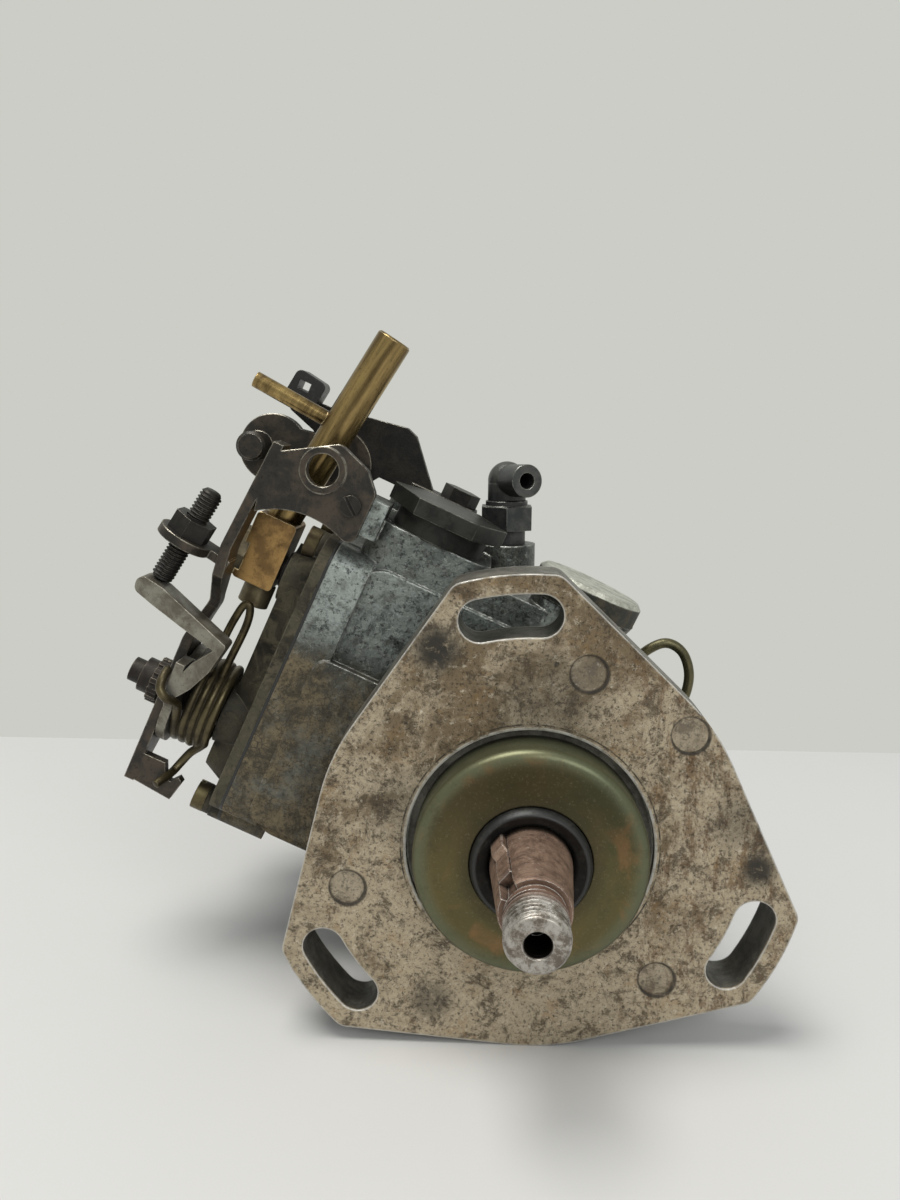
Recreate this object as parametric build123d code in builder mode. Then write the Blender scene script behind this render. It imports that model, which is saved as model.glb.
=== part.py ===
"""Diesel injection pump of the rotary distributor kind, with a three-slot drive flange.

Everything is drawn in the pump's own upright frame, in millimetres: the origin is the centre
of the flange's front face, the drive shaft points along -Y, the governor box and its levers
are on the -X side and the top of the pump is +Z. Each finished piece is then leaned by LEAN
about the shaft, because the pump lies on its flange, the cap nut under its advance cylinder
and its inlet union.
"""

import os
from math import acos, cos, degrees, radians, sin, tan

from build123d import *

os.makedirs("parts", exist_ok=True)

# ---- how the pump lies -------------------------------------------------------------------
LEAN = 24.6

# ---- clearances --------------------------------------------------------------------------
RUN = 0.04  # radial running fit of a shaft, piston or spindle
AIR = 0.3  # gap between pieces that move past each other without a fit

# ---- drive flange ------------------------------------------------------------------------
FLANGE_T = 13.0
BULGE_R = 52.0  # the three rounded sides
BULGE_HALF = 10.4  # degrees of arc each side of a bulge's middle
LOBE_R = 66.8  # the three cut-off corners
LOBE_ROUND = 4.0
SLOT_R = 57.0
SLOT_W = 10.2
SLOT_ARC = 14.4  # degrees between the two end centres of a slot
DISC_MARK_R = 4.15
DISC_MARK_DEPTH = 0.35
DISC_MARK_AT = 45.5
RECESS_R = 29.8
RECESS_DEPTH = 2.5

# ---- drive shaft -------------------------------------------------------------------------
SHAFT_OUT = 44.5
THREAD_R = 7.0
THREAD_L = 16.5
TAPER_BIG_R = 10.0
TAPER_SMALL_R = 8.6
TAPER_BACK = 5.0  # the taper's big end, ahead of the flange face
CENTRE_HOLE_R = 2.85
CENTRE_HOLE_DEPTH = 9.0
KEY_W = 4.0
KEY_L = 17.0
KEY_PROUD = 1.5
KEY_ANGLE = 164.6
JOURNAL_R = 12.55
SEAL_R = 14.2
SEAL_OUT = 5.0
SEAL_IN = 8.0
BUSH_R = 15.0
SLEEVE_SEAT_R = 9.0

# ---- housing -----------------------------------------------------------------------------
BARREL_R = 37.0
NECK_R = 43.0
NECK_END = 20.0
BARREL_END = 96.0
BORE_R = 27.35
BORE_START = 26.0
BOX_FRONT = 32.0
BOX_BACK = 94.0
BOX_TOP = 41.0
BOX_BOTTOM = -40.0
BOX_WALL = 5.0
BOX_CORNER = 7.0
JOINT_X = -74.0  # the face that the governor cover bolts to
RIM_T = 8.5
RIM_PROUD = 2.0
PAD_TOP = 14.0
PAD_PROUD = 3.0
CAVITY_IN_X = -31.0
CAVITY_BOTTOM = -24.5
TOWER_LEFT = -69.0
TOWER_RIGHT = -35.0
DECK_TOP = 52.5  # the machined seat of the inspection plug
TOWER_TOP = 58.7  # the block behind it that carries the rear bracket
TOWER_STEP = 66.0
TOWER_FRONT = 34.0
TOWER_BACK = 84.0

# ---- pieces on top -----------------------------------------------------------------------
PLUG_X = -51.5
PLUG_Y = 46.0
PLUG_AF = 29.0
PLUG_HEX_T = 4.6
PLUG_COLLAR_R = 13.0
PLUG_COLLAR_T = 5.2
PLUG_THREAD_R = 11.0
CAP_X = -8.0
CAP_Y = 44.0
CAP_R = 15.0
CAP_BASE = 52.0
CAP_T = 8.0
UNION_LEAN_X = -5.6  # where the return union stands, measured with the pump leaned
UNION_Y = 70.0
UNION_BASE = 65.5
UNION_AF = 14.6
ELBOW_R = 4.7
ELBOW_BORE = 2.3
CLIP_WIRE_R = 1.4
CLIP_Y = 50.0

# ---- governor cover ----------------------------------------------------------------------
GASKET_T = 0.8
COVER_T = 9.5
COVER_SCREW_R = 4.4
COVER_SCREW_SHANK = 2.4
COVER_SCREW_BITE = 9.0
BRACKET_SCREW_R = 2.05

# ---- lever gear on the cover -------------------------------------------------------------
SPINDLE_Y = 44.0
SPINDLE_Z = -17.0
SPINDLE_R = 5.0
CRANK_PIN_R = 1.3
SHEET = 2.8
STRIP_X = -101.2  # middle of the bracket's strip where the spindle passes it
LEVER_X = -99.4  # outer face of the throttle lever's round root
LEVER_T = 2.5
LEVER_ROOT_R = 14.5
ARM_FRONT = 23.0
ARM_W = 7.0
SCREW_LEAN = 8.6
SCREW_Y = 28.0
SCREW_R = 3.0
COIL_R = 12.0
COIL_WIRE_R = 1.25
COIL_TURNS = 4.25
STOP_Y = 46.0
STOP_Z = 27.0
HUB_W = 11.4
HUB_L = 19.4
HUB_RISE = 3.5  # from the spindle's axis up to the hub's middle
HUB_FRONT = 39.0
ROD_R = 4.8
ROD_LEAN = 8.3
ROD_SHIFT = 2.0
ROD_TOP = 96.3
PIN_R = 2.2
REAR_Y = 72.0  # front face of the rear bracket
REAR_PIVOT_X = -88.0
REAR_PIVOT_Z = 57.0
REAR_BOLT_X = -50.5
REAR_BOLT_Y = 77.5
REAR_EYE_X = -106.4
REAR_EYE_Z = 53.8
REAR_EYE_R = 10.0
REAR_STUD_X = -110.8
REAR_STUD_Z = 52.6

# ---- pump works --------------------------------------------------------------------------
CAM_Y = 60.0
CAM_L = 16.0
CAM_OUT_R = 27.3
CAM_BASE_R = 23.8
LOBE_NOSE_R = 3.6
ROLLER_R = 3.2
ADVANCE_Z = -38.0
ADVANCE_BORE_R = 7.0
ADVANCE_OUT_R = 9.6
ADVANCE_LEFT = -36.0
ADVANCE_RIGHT = 18.0
ADVANCE_CAP_R = 9.2
CAP_NUT_X = -5.0
CAP_NUT_DOME_R = 6.3
CAP_NUT_SEAT = -48.0
HEAD_FRONT = 77.0
HEAD_FLANGE_R = 40.0
HEAD_FLANGE_T = 7.0
HEAD_BODY_R = 31.0
HEAD_END = 124.0
HEAD_SCREW_AT = 35.6
HEAD_SCREW_FIRST = 47.0
HEAD_SCREW_R = 3.0
HEAD_SCREW_BITE = 10.0
ROTOR_R = 12.0
METERING_Y = 84.0
METERING_Z = 10.0
METERING_R = 4.0
LINK_R = 1.15
OUTLET_Y = 113.5
OUTLET_TIP = 50.0
OUTLET_FIRST = 70.0
SOLENOID_ANGLE = 22.0
SOLENOID_TIP = 56.0
LINER_R = 20.0
LINER_L = 8.0
END_PLATE_R = 26.0
END_PLATE_T = 18.0
END_SCREW_AT = 22.8
END_SCREW_FIRST = 15.0
END_SCREW_R = 2.5
END_SCREW_BITE = 5.0
INLET_ANGLE = -30.0
INLET_R = 7.0


def section(y):
    """The plane across the shaft at depth y, seen from the drive end: local x is X, y is Z."""
    return Plane(origin=(0, y, 0), x_dir=(1, 0, 0), z_dir=(0, -1, 0))


def rearward(x, y, z):
    """A plane at a point whose normal runs back along the shaft."""
    return Plane(origin=(x, y, z), x_dir=(1, 0, 0), z_dir=(0, 1, 0))


def outward(angle, y, reach):
    """A plane square to a radius of the pump, at an angle from +X towards +Z."""
    way = (cos(radians(angle)), 0, sin(radians(angle)))
    return Plane(origin=(reach * way[0], y, reach * way[2]), x_dir=(0, 1, 0), z_dir=way)


def sideways(x, y, z):
    """A plane at a point whose normal is -X, the way the levers stack."""
    return Plane(origin=(x, y, z), x_dir=(0, 1, 0), z_dir=(-1, 0, 0))


def polar(radius, angle):
    return (radius * cos(radians(angle)), radius * sin(radians(angle)))


def upright(x, z):
    """Turn a place given with the pump leaned over into the pump's own upright frame."""
    lean = radians(LEAN)
    return (x * cos(lean) - z * sin(lean), x * sin(lean) + z * cos(lean))


def turned(plane, *steps, mode=Mode.ADD):
    """Stack round sections (radius, length) along a plane's normal."""
    reach = 0
    for radius, length in steps:
        with BuildSketch(plane.offset(reach)) as round_section:
            Circle(radius)
        extrude(round_section.sketch, amount=length, mode=mode)
        reach += length


def hexagon(plane, across_flats, length, mode=Mode.ADD):
    """A hexagonal prism along a plane's normal, with its corners turned off like a nut's."""
    with BuildSketch(plane) as outline:
        RegularPolygon(across_flats / 2, 6, major_radius=False)
    extrude(outline.sketch, amount=length, mode=mode)


def coil(plane, radius, wire, length, turns):
    """A closed-ended coil of round wire along a plane's normal."""
    centre_line = Helix(
        length / turns, length, radius, center=plane.origin, direction=plane.z_dir, mode=Mode.PRIVATE
    )
    with BuildSketch(Plane(origin=centre_line @ 0, z_dir=centre_line % 0)) as wire_section:
        Circle(wire)
    sweep(wire_section.sketch, path=centre_line)


def lean(piece):
    """Lay a finished piece over the way the pump lies, keeping its label."""
    leaned = piece.rotate(Axis.Y, LEAN)
    leaned.label = piece.label
    return leaned


# ==== drive flange and housing ============================================================
lobe_half = 60 - BULGE_HALF - degrees(acos(BULGE_R / LOBE_R))

with BuildSketch(section(FLANGE_T)) as flange_outline:
    with BuildLine():
        for turn in (0, 120, 240):
            ThreePointArc(
                polar(BULGE_R, turn + 60 - BULGE_HALF),
                polar(BULGE_R, turn + 60),
                polar(BULGE_R, turn + 60 + BULGE_HALF),
            )
            Line(polar(BULGE_R, turn + 60 + BULGE_HALF), polar(LOBE_R, turn + 120 - lobe_half))
            ThreePointArc(
                polar(LOBE_R, turn + 120 - lobe_half),
                polar(LOBE_R, turn + 120),
                polar(LOBE_R, turn + 120 + lobe_half),
            )
            Line(polar(LOBE_R, turn + 120 + lobe_half), polar(BULGE_R, turn + 180 - BULGE_HALF))
    make_face()
    lobe_corners = flange_outline.vertices().filter_by(lambda v: v.X**2 + v.Y**2 > (LOBE_R - 1) ** 2)
    fillet(lobe_corners, LOBE_ROUND)

with BuildSketch(section(FLANGE_T)) as flange_slots:
    for turn in (0, 120, 240):
        with BuildLine():
            slot_path = CenterArc((0, 0), SLOT_R, turn - SLOT_ARC / 2, SLOT_ARC)
        SlotArc(slot_path, SLOT_W)

head_screw_turns = [HEAD_SCREW_FIRST + quarter for quarter in (0, 90, 180, 270)]
end_screw_turns = [END_SCREW_FIRST + quarter for quarter in (0, 90, 180, 270)]
bracket_screw_at = (-74.9, 27.0 + SHEET, 53.4)
union_x, union_z = upright(UNION_LEAN_X, UNION_BASE)
union_axis = upright(0, 1)
union_seat = Plane(
    origin=(union_x, UNION_Y, union_z), x_dir=(0, 1, 0), z_dir=(union_axis[0], 0, union_axis[1])
)
advance_y = CAM_Y + CAM_L / 2
# the cap nut's dome touches the ground beside the flange
dome_at = (BULGE_R - CAP_NUT_DOME_R - CAP_NUT_X * sin(radians(LEAN))) / cos(radians(LEAN))
cavity_middle = ((BOX_FRONT + BOX_BACK) / 2, (BOX_TOP - BOX_WALL + CAVITY_BOTTOM) / 2)
cavity_size = (BOX_BACK - BOX_FRONT - 2 * BOX_WALL, BOX_TOP - BOX_WALL - CAVITY_BOTTOM)
notch_top = ADVANCE_Z + ADVANCE_CAP_R + AIR
cover_ears = [(42.0, -42.5), (86.0, -41.0), (42.0, 38.0), (64.0, 40.0), (88.0, 36.0)]

with BuildPart() as pump_housing:
    extrude(flange_outline.sketch, amount=FLANGE_T)
    # barrel round the pump works, with a thicker neck behind the flange
    turned(
        rearward(0, FLANGE_T, 0),
        (NECK_R, NECK_END - FLANGE_T),
        (BARREL_R, BARREL_END - NECK_END - HEAD_SCREW_BITE - 2),
        (HEAD_FLANGE_R, HEAD_SCREW_BITE + 2),
    )
    # governor box
    with BuildSketch(section(BOX_BACK)):
        with Locations(((JOINT_X + RIM_T) / 2 - 8, (BOX_TOP + BOX_BOTTOM) / 2)):
            RectangleRounded(-JOINT_X - RIM_T - 16, BOX_TOP - BOX_BOTTOM, BOX_CORNER)
    extrude(amount=BOX_BACK - BOX_FRONT)
    # rim that carries the cover, with its screw bosses
    with BuildSketch(Plane.YZ.offset(JOINT_X)) as rim_outline:
        with Locations(((BOX_FRONT + BOX_BACK) / 2, (BOX_TOP + BOX_BOTTOM) / 2)):
            RectangleRounded(
                BOX_BACK - BOX_FRONT + 2 * RIM_PROUD, BOX_TOP - BOX_BOTTOM + 2 * RIM_PROUD - 2, BOX_CORNER
            )
        with Locations(cover_ears):
            Circle(COVER_SCREW_R)
    extrude(amount=RIM_T + 2)
    with BuildSketch(Plane.YZ.offset(JOINT_X)):
        with Locations(cover_ears[:2]):
            Circle(COVER_SCREW_R)
    extrude(amount=13)
    # raised pad on the front wall
    with BuildSketch(section(BOX_FRONT)):
        with Locations((JOINT_X + 22, (PAD_TOP + BOX_BOTTOM) / 2 + 1)):
            RectangleRounded(30, PAD_TOP - BOX_BOTTOM - 4, 4)
    extrude(amount=PAD_PROUD)
    # tower with a flat top, and the deck between it and the barrel
    with BuildSketch(Plane.XY.offset(BOX_TOP - 4)):
        with Locations(((TOWER_LEFT + TOWER_RIGHT) / 2, (TOWER_FRONT + TOWER_BACK) / 2)):
            RectangleRounded(TOWER_RIGHT - TOWER_LEFT, TOWER_BACK - TOWER_FRONT, 8)
    extrude(amount=TOWER_TOP - BOX_TOP + 4)
    with BuildSketch(Plane.XY.offset(DECK_TOP)):
        with Locations(((TOWER_LEFT + TOWER_RIGHT) / 2, TOWER_STEP - 20)):
            Rectangle(TOWER_RIGHT - TOWER_LEFT + 20, 40)
    extrude(amount=20, mode=Mode.SUBTRACT)
    with BuildSketch(section(TOWER_BACK)):
        with Locations((-22, 24)):
            RectangleRounded(34, 50, 5)
    extrude(amount=TOWER_BACK - TOWER_FRONT)
    # boss of the round cap, boss of the return union, and the bracket's screw lug
    turned(Plane(origin=(CAP_X, CAP_Y, 20), z_dir=(0, 0, 1)), (CAP_R - 1.4, CAP_BASE - 20))
    turned(union_seat.offset(-24), (8.6, 24))
    turned(rearward(*bracket_screw_at), (4.8, 14))
    with BuildSketch(section(bracket_screw_at[1] + 14)):
        with Locations((-70.5, 52)):
            Rectangle(9, 10)
    extrude(amount=14)
    # advance cylinder across the bottom, and the boss of its access plug
    advance_start = Plane(origin=(ADVANCE_LEFT, advance_y, ADVANCE_Z), z_dir=(1, 0, 0))
    turned(advance_start, (ADVANCE_OUT_R, ADVANCE_RIGHT - ADVANCE_LEFT))
    turned(Plane(origin=(CAP_NUT_X, advance_y, -30), z_dir=(0, 0, -1)), (8.3, -CAP_NUT_SEAT - 30))
    # recess and seal bore
    turned(rearward(0, 0, 0), (RECESS_R, RECESS_DEPTH), (SEAL_R + 0.05, SEAL_IN - RECESS_DEPTH), mode=Mode.SUBTRACT)
    turned(rearward(0, SEAL_IN, 0), (BUSH_R, BORE_START - SEAL_IN), (BORE_R, BOX_BACK), mode=Mode.SUBTRACT)
    # governor chamber, its way into the barrel, and the metering valve's passage
    with BuildSketch(Plane.YZ.offset(JOINT_X)):
        with Locations(cavity_middle):
            RectangleRounded(*cavity_size, 5)
    extrude(amount=CAVITY_IN_X - JOINT_X, mode=Mode.SUBTRACT)
    # room for the advance cylinder's end under the box
    with BuildSketch(section(advance_y + 12)):
        with Locations((-51, (BOX_BOTTOM + notch_top) / 2 - 1)):
            Rectangle(30, notch_top - BOX_BOTTOM + 2)
    extrude(amount=24, mode=Mode.SUBTRACT)
    with BuildSketch(Plane.YZ.offset(CAVITY_IN_X - 1)):
        with Locations((49, 0)):
            Rectangle(14, 18)
        with Locations((METERING_Y, METERING_Z)):
            Circle(METERING_R + AIR)
    extrude(amount=16, mode=Mode.SUBTRACT)
    # advance bore, the slot for the cam screw and the plug hole
    turned(advance_start, (ADVANCE_BORE_R + RUN, ADVANCE_RIGHT - ADVANCE_LEFT), mode=Mode.SUBTRACT)
    turned(advance_start.offset(ADVANCE_RIGHT - ADVANCE_LEFT), (ADVANCE_CAP_R, 9), mode=Mode.SUBTRACT)
    with BuildSketch(Plane.XY.offset(ADVANCE_Z)):
        with Locations((0, advance_y)):
            SlotOverall(18, 9)
    extrude(amount=16, mode=Mode.SUBTRACT)
    turned(Plane(origin=(CAP_NUT_X, advance_y, CAP_NUT_SEAT)), (4.0, 6), mode=Mode.SUBTRACT)
    # holes for the head screws, the cover screws and the bracket screw
    for turn in head_screw_turns:
        x, z = polar(HEAD_SCREW_AT, turn)
        turned(rearward(x, BARREL_END - HEAD_SCREW_BITE, z), (HEAD_SCREW_R, 20), mode=Mode.SUBTRACT)
    for y, z in cover_ears:
        turned(sideways(JOINT_X + COVER_SCREW_BITE, y, z), (COVER_SCREW_SHANK, 20), mode=Mode.SUBTRACT)
    turned(rearward(*bracket_screw_at), (BRACKET_SCREW_R, 10), mode=Mode.SUBTRACT)
    turned(union_seat, (9.2, 20), mode=Mode.SUBTRACT)
    turned(union_seat.offset(-8), (4.4, 10), mode=Mode.SUBTRACT)
    # slots through the flange, and the shallow round marks between them
    extrude(flange_slots.sketch, amount=FLANGE_T, mode=Mode.SUBTRACT)
    with BuildSketch(section(0)):
        with PolarLocations(DISC_MARK_AT, 3, 98.2, 360, False):
            Circle(DISC_MARK_R)
    extrude(amount=-DISC_MARK_DEPTH, mode=Mode.SUBTRACT)
    # threaded holes under the plug and the cap
    turned(Plane(origin=(PLUG_X, PLUG_Y, DECK_TOP), z_dir=(0, 0, -1)), (PLUG_THREAD_R, 20), mode=Mode.SUBTRACT)
    turned(Plane(origin=(REAR_BOLT_X, REAR_BOLT_Y, TOWER_TOP - 6)), (2.5, 6), mode=Mode.SUBTRACT)
pump_housing.part.label = "pump_housing"
export_step(lean(pump_housing.part), "parts/pump_housing.step")

# ==== drive end ===========================================================================
with BuildPart() as dust_cover:
    with BuildSketch(Plane.XY):
        with BuildLine():
            Polyline(
                (SEAL_R + 0.15, RECESS_DEPTH),
                (RECESS_R - 1.5, RECESS_DEPTH),
                (RECESS_R - 1.5, -0.5),
                (RECESS_R - 4.0, -3.0),
                (RECESS_R - 6.5, -3.0),
                (SEAL_R + 5.5, -1.6),
                (SEAL_R + 2.2, -1.6),
                (SEAL_R + 0.15, -0.6),
                close=True,
            )
        make_face()
    revolve(axis=Axis.Y)
    rim_edges = dust_cover.edges().filter_by(GeomType.CIRCLE).filter_by(lambda e: e.radius > RECESS_R - 4.5)
    fillet(rim_edges.filter_by(lambda e: e.center().Y < -0.4), 1.5)
dust_cover.part.label = "dust_cover"
export_step(lean(dust_cover.part), "parts/dust_cover.step")

with BuildPart() as shaft_oil_seal:
    with BuildSketch(Plane.XY):
        with BuildLine():
            Polyline(
                (SEAL_R, SEAL_IN),
                (TAPER_BIG_R + 2.5, SEAL_IN),
                (TAPER_BIG_R + 2.5, 2.0),
                (TAPER_BIG_R + 0.05, 0.5),
                (TAPER_BIG_R + 0.05, -0.5),
                (TAPER_BIG_R + 1.0, -SEAL_OUT + 1.0),
                (TAPER_BIG_R + 1.6, -SEAL_OUT),
                (SEAL_R - 1.0, -SEAL_OUT),
                (SEAL_R, -SEAL_OUT + 1.0),
                close=True,
            )
        make_face()
    revolve(axis=Axis.Y)
shaft_oil_seal.part.label = "shaft_oil_seal"
export_step(lean(shaft_oil_seal.part), "parts/shaft_oil_seal.step")

with BuildPart() as drive_bush:
    turned(rearward(0, SEAL_IN + 2, 0), (BUSH_R, BORE_START - SEAL_IN - 2))
    turned(rearward(0, SEAL_IN + 2, 0), (JOURNAL_R + RUN, BORE_START), mode=Mode.SUBTRACT)
drive_bush.part.label = "drive_bush"
export_step(lean(drive_bush.part), "parts/drive_bush.step")

key_way = outward(KEY_ANGLE, -TAPER_BACK - 3 - KEY_L / 2, TAPER_SMALL_R - 2.6)
key_floor_to_top = TAPER_BIG_R + KEY_PROUD - TAPER_SMALL_R + 2.6
tongue_start = CAM_Y - 6.0

with BuildPart() as drive_shaft:
    with BuildSketch(Plane.XY):
        with BuildLine():
            Polyline(
                (0, -SHAFT_OUT + CENTRE_HOLE_DEPTH),
                (CENTRE_HOLE_R, -SHAFT_OUT + CENTRE_HOLE_DEPTH),
                (CENTRE_HOLE_R, -SHAFT_OUT + 1.2),
                (CENTRE_HOLE_R + 1.2, -SHAFT_OUT),
                (THREAD_R - 1.5, -SHAFT_OUT),
                (THREAD_R, -SHAFT_OUT + 1.5),
                (THREAD_R, -SHAFT_OUT + THREAD_L),
                (TAPER_SMALL_R - 0.5, -SHAFT_OUT + THREAD_L),
                (TAPER_SMALL_R, -SHAFT_OUT + THREAD_L + 0.5),
                (TAPER_BIG_R, -TAPER_BACK),
                (TAPER_BIG_R, SEAL_IN + 0.5),
                (JOURNAL_R, SEAL_IN + 2),
                (JOURNAL_R, BORE_START + 0.6),
                (20.0, BORE_START + 0.6),
                (20.0, BORE_START + 3.4),
                (SLEEVE_SEAT_R, BORE_START + 3.4),
                (SLEEVE_SEAT_R, tongue_start),
                (0, tongue_start),
                close=True,
            )
        make_face()
    revolve(axis=Axis.Y)
    with BuildSketch(section(CAM_Y + 3)):
        Rectangle(7.9, 16)
    extrude(amount=CAM_Y + 3 - tongue_start + 1)
    with BuildSketch(key_way):
        SlotOverall(KEY_L, KEY_W, rotation=0)
    extrude(amount=8, mode=Mode.SUBTRACT)
drive_shaft.part.label = "drive_shaft"
export_step(lean(drive_shaft.part), "parts/drive_shaft.step")

with BuildPart() as shaft_key:
    with BuildSketch(key_way):
        SlotOverall(KEY_L, KEY_W)
    extrude(amount=key_floor_to_top)
shaft_key.part.label = "shaft_key"
export_step(lean(shaft_key.part), "parts/shaft_key.step")

# ==== governor ============================================================================
cage_start = BORE_START + 3.4
cage_end = cage_start + 14.0
cage_r = BORE_R - 2.8

with BuildPart() as governor_weight_cage:
    turned(rearward(0, cage_start, 0), (cage_r, cage_end - cage_start))
    turned(rearward(0, cage_start + 2, 0), (cage_r - 1.8, 20), mode=Mode.SUBTRACT)
    turned(rearward(0, cage_start, 0), (SLEEVE_SEAT_R, 5), mode=Mode.SUBTRACT)
    with BuildSketch(section(cage_end)):
        with PolarLocations(cage_r - 1, 4):
            Rectangle(6, 13)
    extrude(amount=cage_end - cage_start - 3, mode=Mode.SUBTRACT)
governor_weight_cage.part.label = "governor_weight_cage"
export_step(lean(governor_weight_cage.part), "parts/governor_weight_cage.step")

with BuildPart() as governor_weights:
    with BuildSketch(section(cage_end - 2)):
        Circle(cage_r - 2.1)
        Circle(14.6, mode=Mode.SUBTRACT)
        for turn in (45, 135):
            Rectangle(60, 7, rotation=turn, mode=Mode.SUBTRACT)
    extrude(amount=cage_end - cage_start - 4.2)
governor_weights.part.label = "governor_weights"
export_step(lean(governor_weights.part), "parts/governor_weights.step")

sleeve_front = cage_start + 3.5
sleeve_back = cage_end - 1.0

with BuildPart() as governor_thrust_sleeve:
    turned(rearward(0, sleeve_front, 0), (11.0, sleeve_back - 2.4 - sleeve_front), (13.8, 2.4))
    turned(rearward(0, sleeve_front, 0), (SLEEVE_SEAT_R + RUN, 20), mode=Mode.SUBTRACT)
governor_thrust_sleeve.part.label = "governor_thrust_sleeve"
export_step(lean(governor_thrust_sleeve.part), "parts/governor_thrust_sleeve.step")

arm_pivot_x = -42.0
arm_y = sleeve_back + 4.0
arm_end_x = -62.0
arm_z = 3.0
link_x = -58.0
link_eye_y = METERING_Y + 1.1

with BuildPart() as governor_arm:
    with BuildSketch(Plane.XY.offset(-arm_z)) as arm_outline:
        with BuildLine():
            Polyline((-12.6, sleeve_back + 1.6), (-24, arm_y), (arm_end_x, arm_y))
        trace(line_width=3.0)
        with Locations((arm_pivot_x, arm_y)):
            Circle(4)
    extrude(amount=2 * arm_z)
    turned(Plane(origin=(arm_pivot_x, arm_y, -arm_z)), (2.0 + RUN, 2 * arm_z), mode=Mode.SUBTRACT)
    turned(rearward(link_x, arm_y - 3, 0), (LINK_R + 0.5, 6), mode=Mode.SUBTRACT)
governor_arm.part.label = "governor_arm"
export_step(lean(governor_arm.part), "parts/governor_arm.step")

with BuildPart() as governor_arm_pin:
    turned(
        Plane(origin=(arm_pivot_x, arm_y, CAVITY_BOTTOM)), (2.0, BOX_TOP - BOX_WALL - CAVITY_BOTTOM)
    )
governor_arm_pin.part.label = "governor_arm_pin"
export_step(lean(governor_arm_pin.part), "parts/governor_arm_pin.step")

with BuildPart() as governor_link:
    turned(rearward(link_x, arm_y - 3.4, 0), (LINK_R + 1, 1.6), (LINK_R, link_eye_y - arm_y))
    turned(sideways(link_x + 1, link_eye_y, 0), (2.7, 2))
    turned(sideways(link_x + 1, link_eye_y, 0), (LINK_R + 0.1, 2), mode=Mode.SUBTRACT)
governor_link.part.label = "governor_link"
export_step(lean(governor_link.part), "parts/governor_link.step")

crank_pin = sideways(arm_end_x + 3, SPINDLE_Y - 2.4, SPINDLE_Z - 2.6)
spring_top = Vector(arm_end_x + 1, arm_y, -arm_z - 0.8)
spring_way = Vector(spring_top.X, crank_pin.origin.Y, crank_pin.origin.Z) - spring_top
with BuildPart() as governor_spring:
    coil(Plane(origin=spring_top, z_dir=spring_way), 1.8, 0.5, spring_way.length - CRANK_PIN_R - 1.4, 7)
governor_spring.part.label = "governor_spring"
export_step(lean(governor_spring.part), "parts/governor_spring.step")

# ==== pump works ==========================================================================
rotor_front = CAM_Y + 0.6
carrier_r = 16.5

with BuildPart() as distributor_rotor:
    turned(rearward(0, rotor_front, 0), (carrier_r, CAM_L - 0.4), (ROTOR_R - RUN, HEAD_END - CAM_Y - CAM_L - 0.2))
    with BuildSketch(section(CAM_Y + 3.2)):
        Rectangle(8.0, 16.2)
    extrude(amount=4, mode=Mode.SUBTRACT)
    turned(Plane(origin=(-30, advance_y, 0), z_dir=(1, 0, 0)), (3.5 + RUN, 60), mode=Mode.SUBTRACT)
    with BuildSketch(section(advance_y + 5.1)):
        with PolarLocations(carrier_r, 2):
            Rectangle(7.0, 8.1)
    extrude(amount=10.2, mode=Mode.SUBTRACT)
    turned(rearward(0, HEAD_END, 0), (6.0, LINER_L - 1))
distributor_rotor.part.label = "distributor_rotor"
export_step(lean(distributor_rotor.part), "parts/distributor_rotor.step")

with BuildPart() as pumping_plungers:
    for side in (1, -1):
        turned(Plane(origin=(side * 3.0, advance_y, 0), z_dir=(side, 0, 0)), (3.5, 10.0))
pumping_plungers.part.label = "pumping_plungers"
export_step(lean(pumping_plungers.part), "parts/pumping_plungers.step")

roller_at = 18.6
with BuildPart() as roller_shoes:
    with BuildSketch(section(advance_y + 5)):
        with PolarLocations(15.5, 2):
            Rectangle(5.0, 8.0)
        with PolarLocations(roller_at, 2):
            Circle(ROLLER_R + 0.03, mode=Mode.SUBTRACT)
    extrude(amount=10)
roller_shoes.part.label = "roller_shoes"
export_step(lean(roller_shoes.part), "parts/roller_shoes.step")

with BuildPart() as cam_rollers:
    with BuildSketch(section(advance_y + 5)):
        with PolarLocations(roller_at, 2):
            Circle(ROLLER_R)
    extrude(amount=10)
cam_rollers.part.label = "cam_rollers"
export_step(lean(cam_rollers.part), "parts/cam_rollers.step")

with BuildPart() as cam_ring:
    with BuildSketch(section(CAM_Y + CAM_L)):
        Circle(CAM_OUT_R)
        Circle(CAM_BASE_R, mode=Mode.SUBTRACT)
        with PolarLocations(roller_at + ROLLER_R + 0.2 + LOBE_NOSE_R, 4):
            Circle(LOBE_NOSE_R)
        Circle(CAM_OUT_R, mode=Mode.INTERSECT)
    extrude(amount=CAM_L)
    turned(Plane(origin=(0, advance_y, -20), z_dir=(0, 0, -1)), (3.5, 12), mode=Mode.SUBTRACT)
cam_ring.part.label = "cam_ring"
export_step(lean(cam_ring.part), "parts/cam_ring.step")

with BuildPart() as cam_advance_screw:
    turned(Plane(origin=(0, advance_y, -22.4), z_dir=(0, 0, -1)), (3.5, 8.0), (2.4, 7))
    with Locations((0, advance_y, ADVANCE_Z)):
        Sphere(3.9)
cam_advance_screw.part.label = "cam_advance_screw"
export_step(lean(cam_advance_screw.part), "parts/cam_advance_screw.step")

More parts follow.
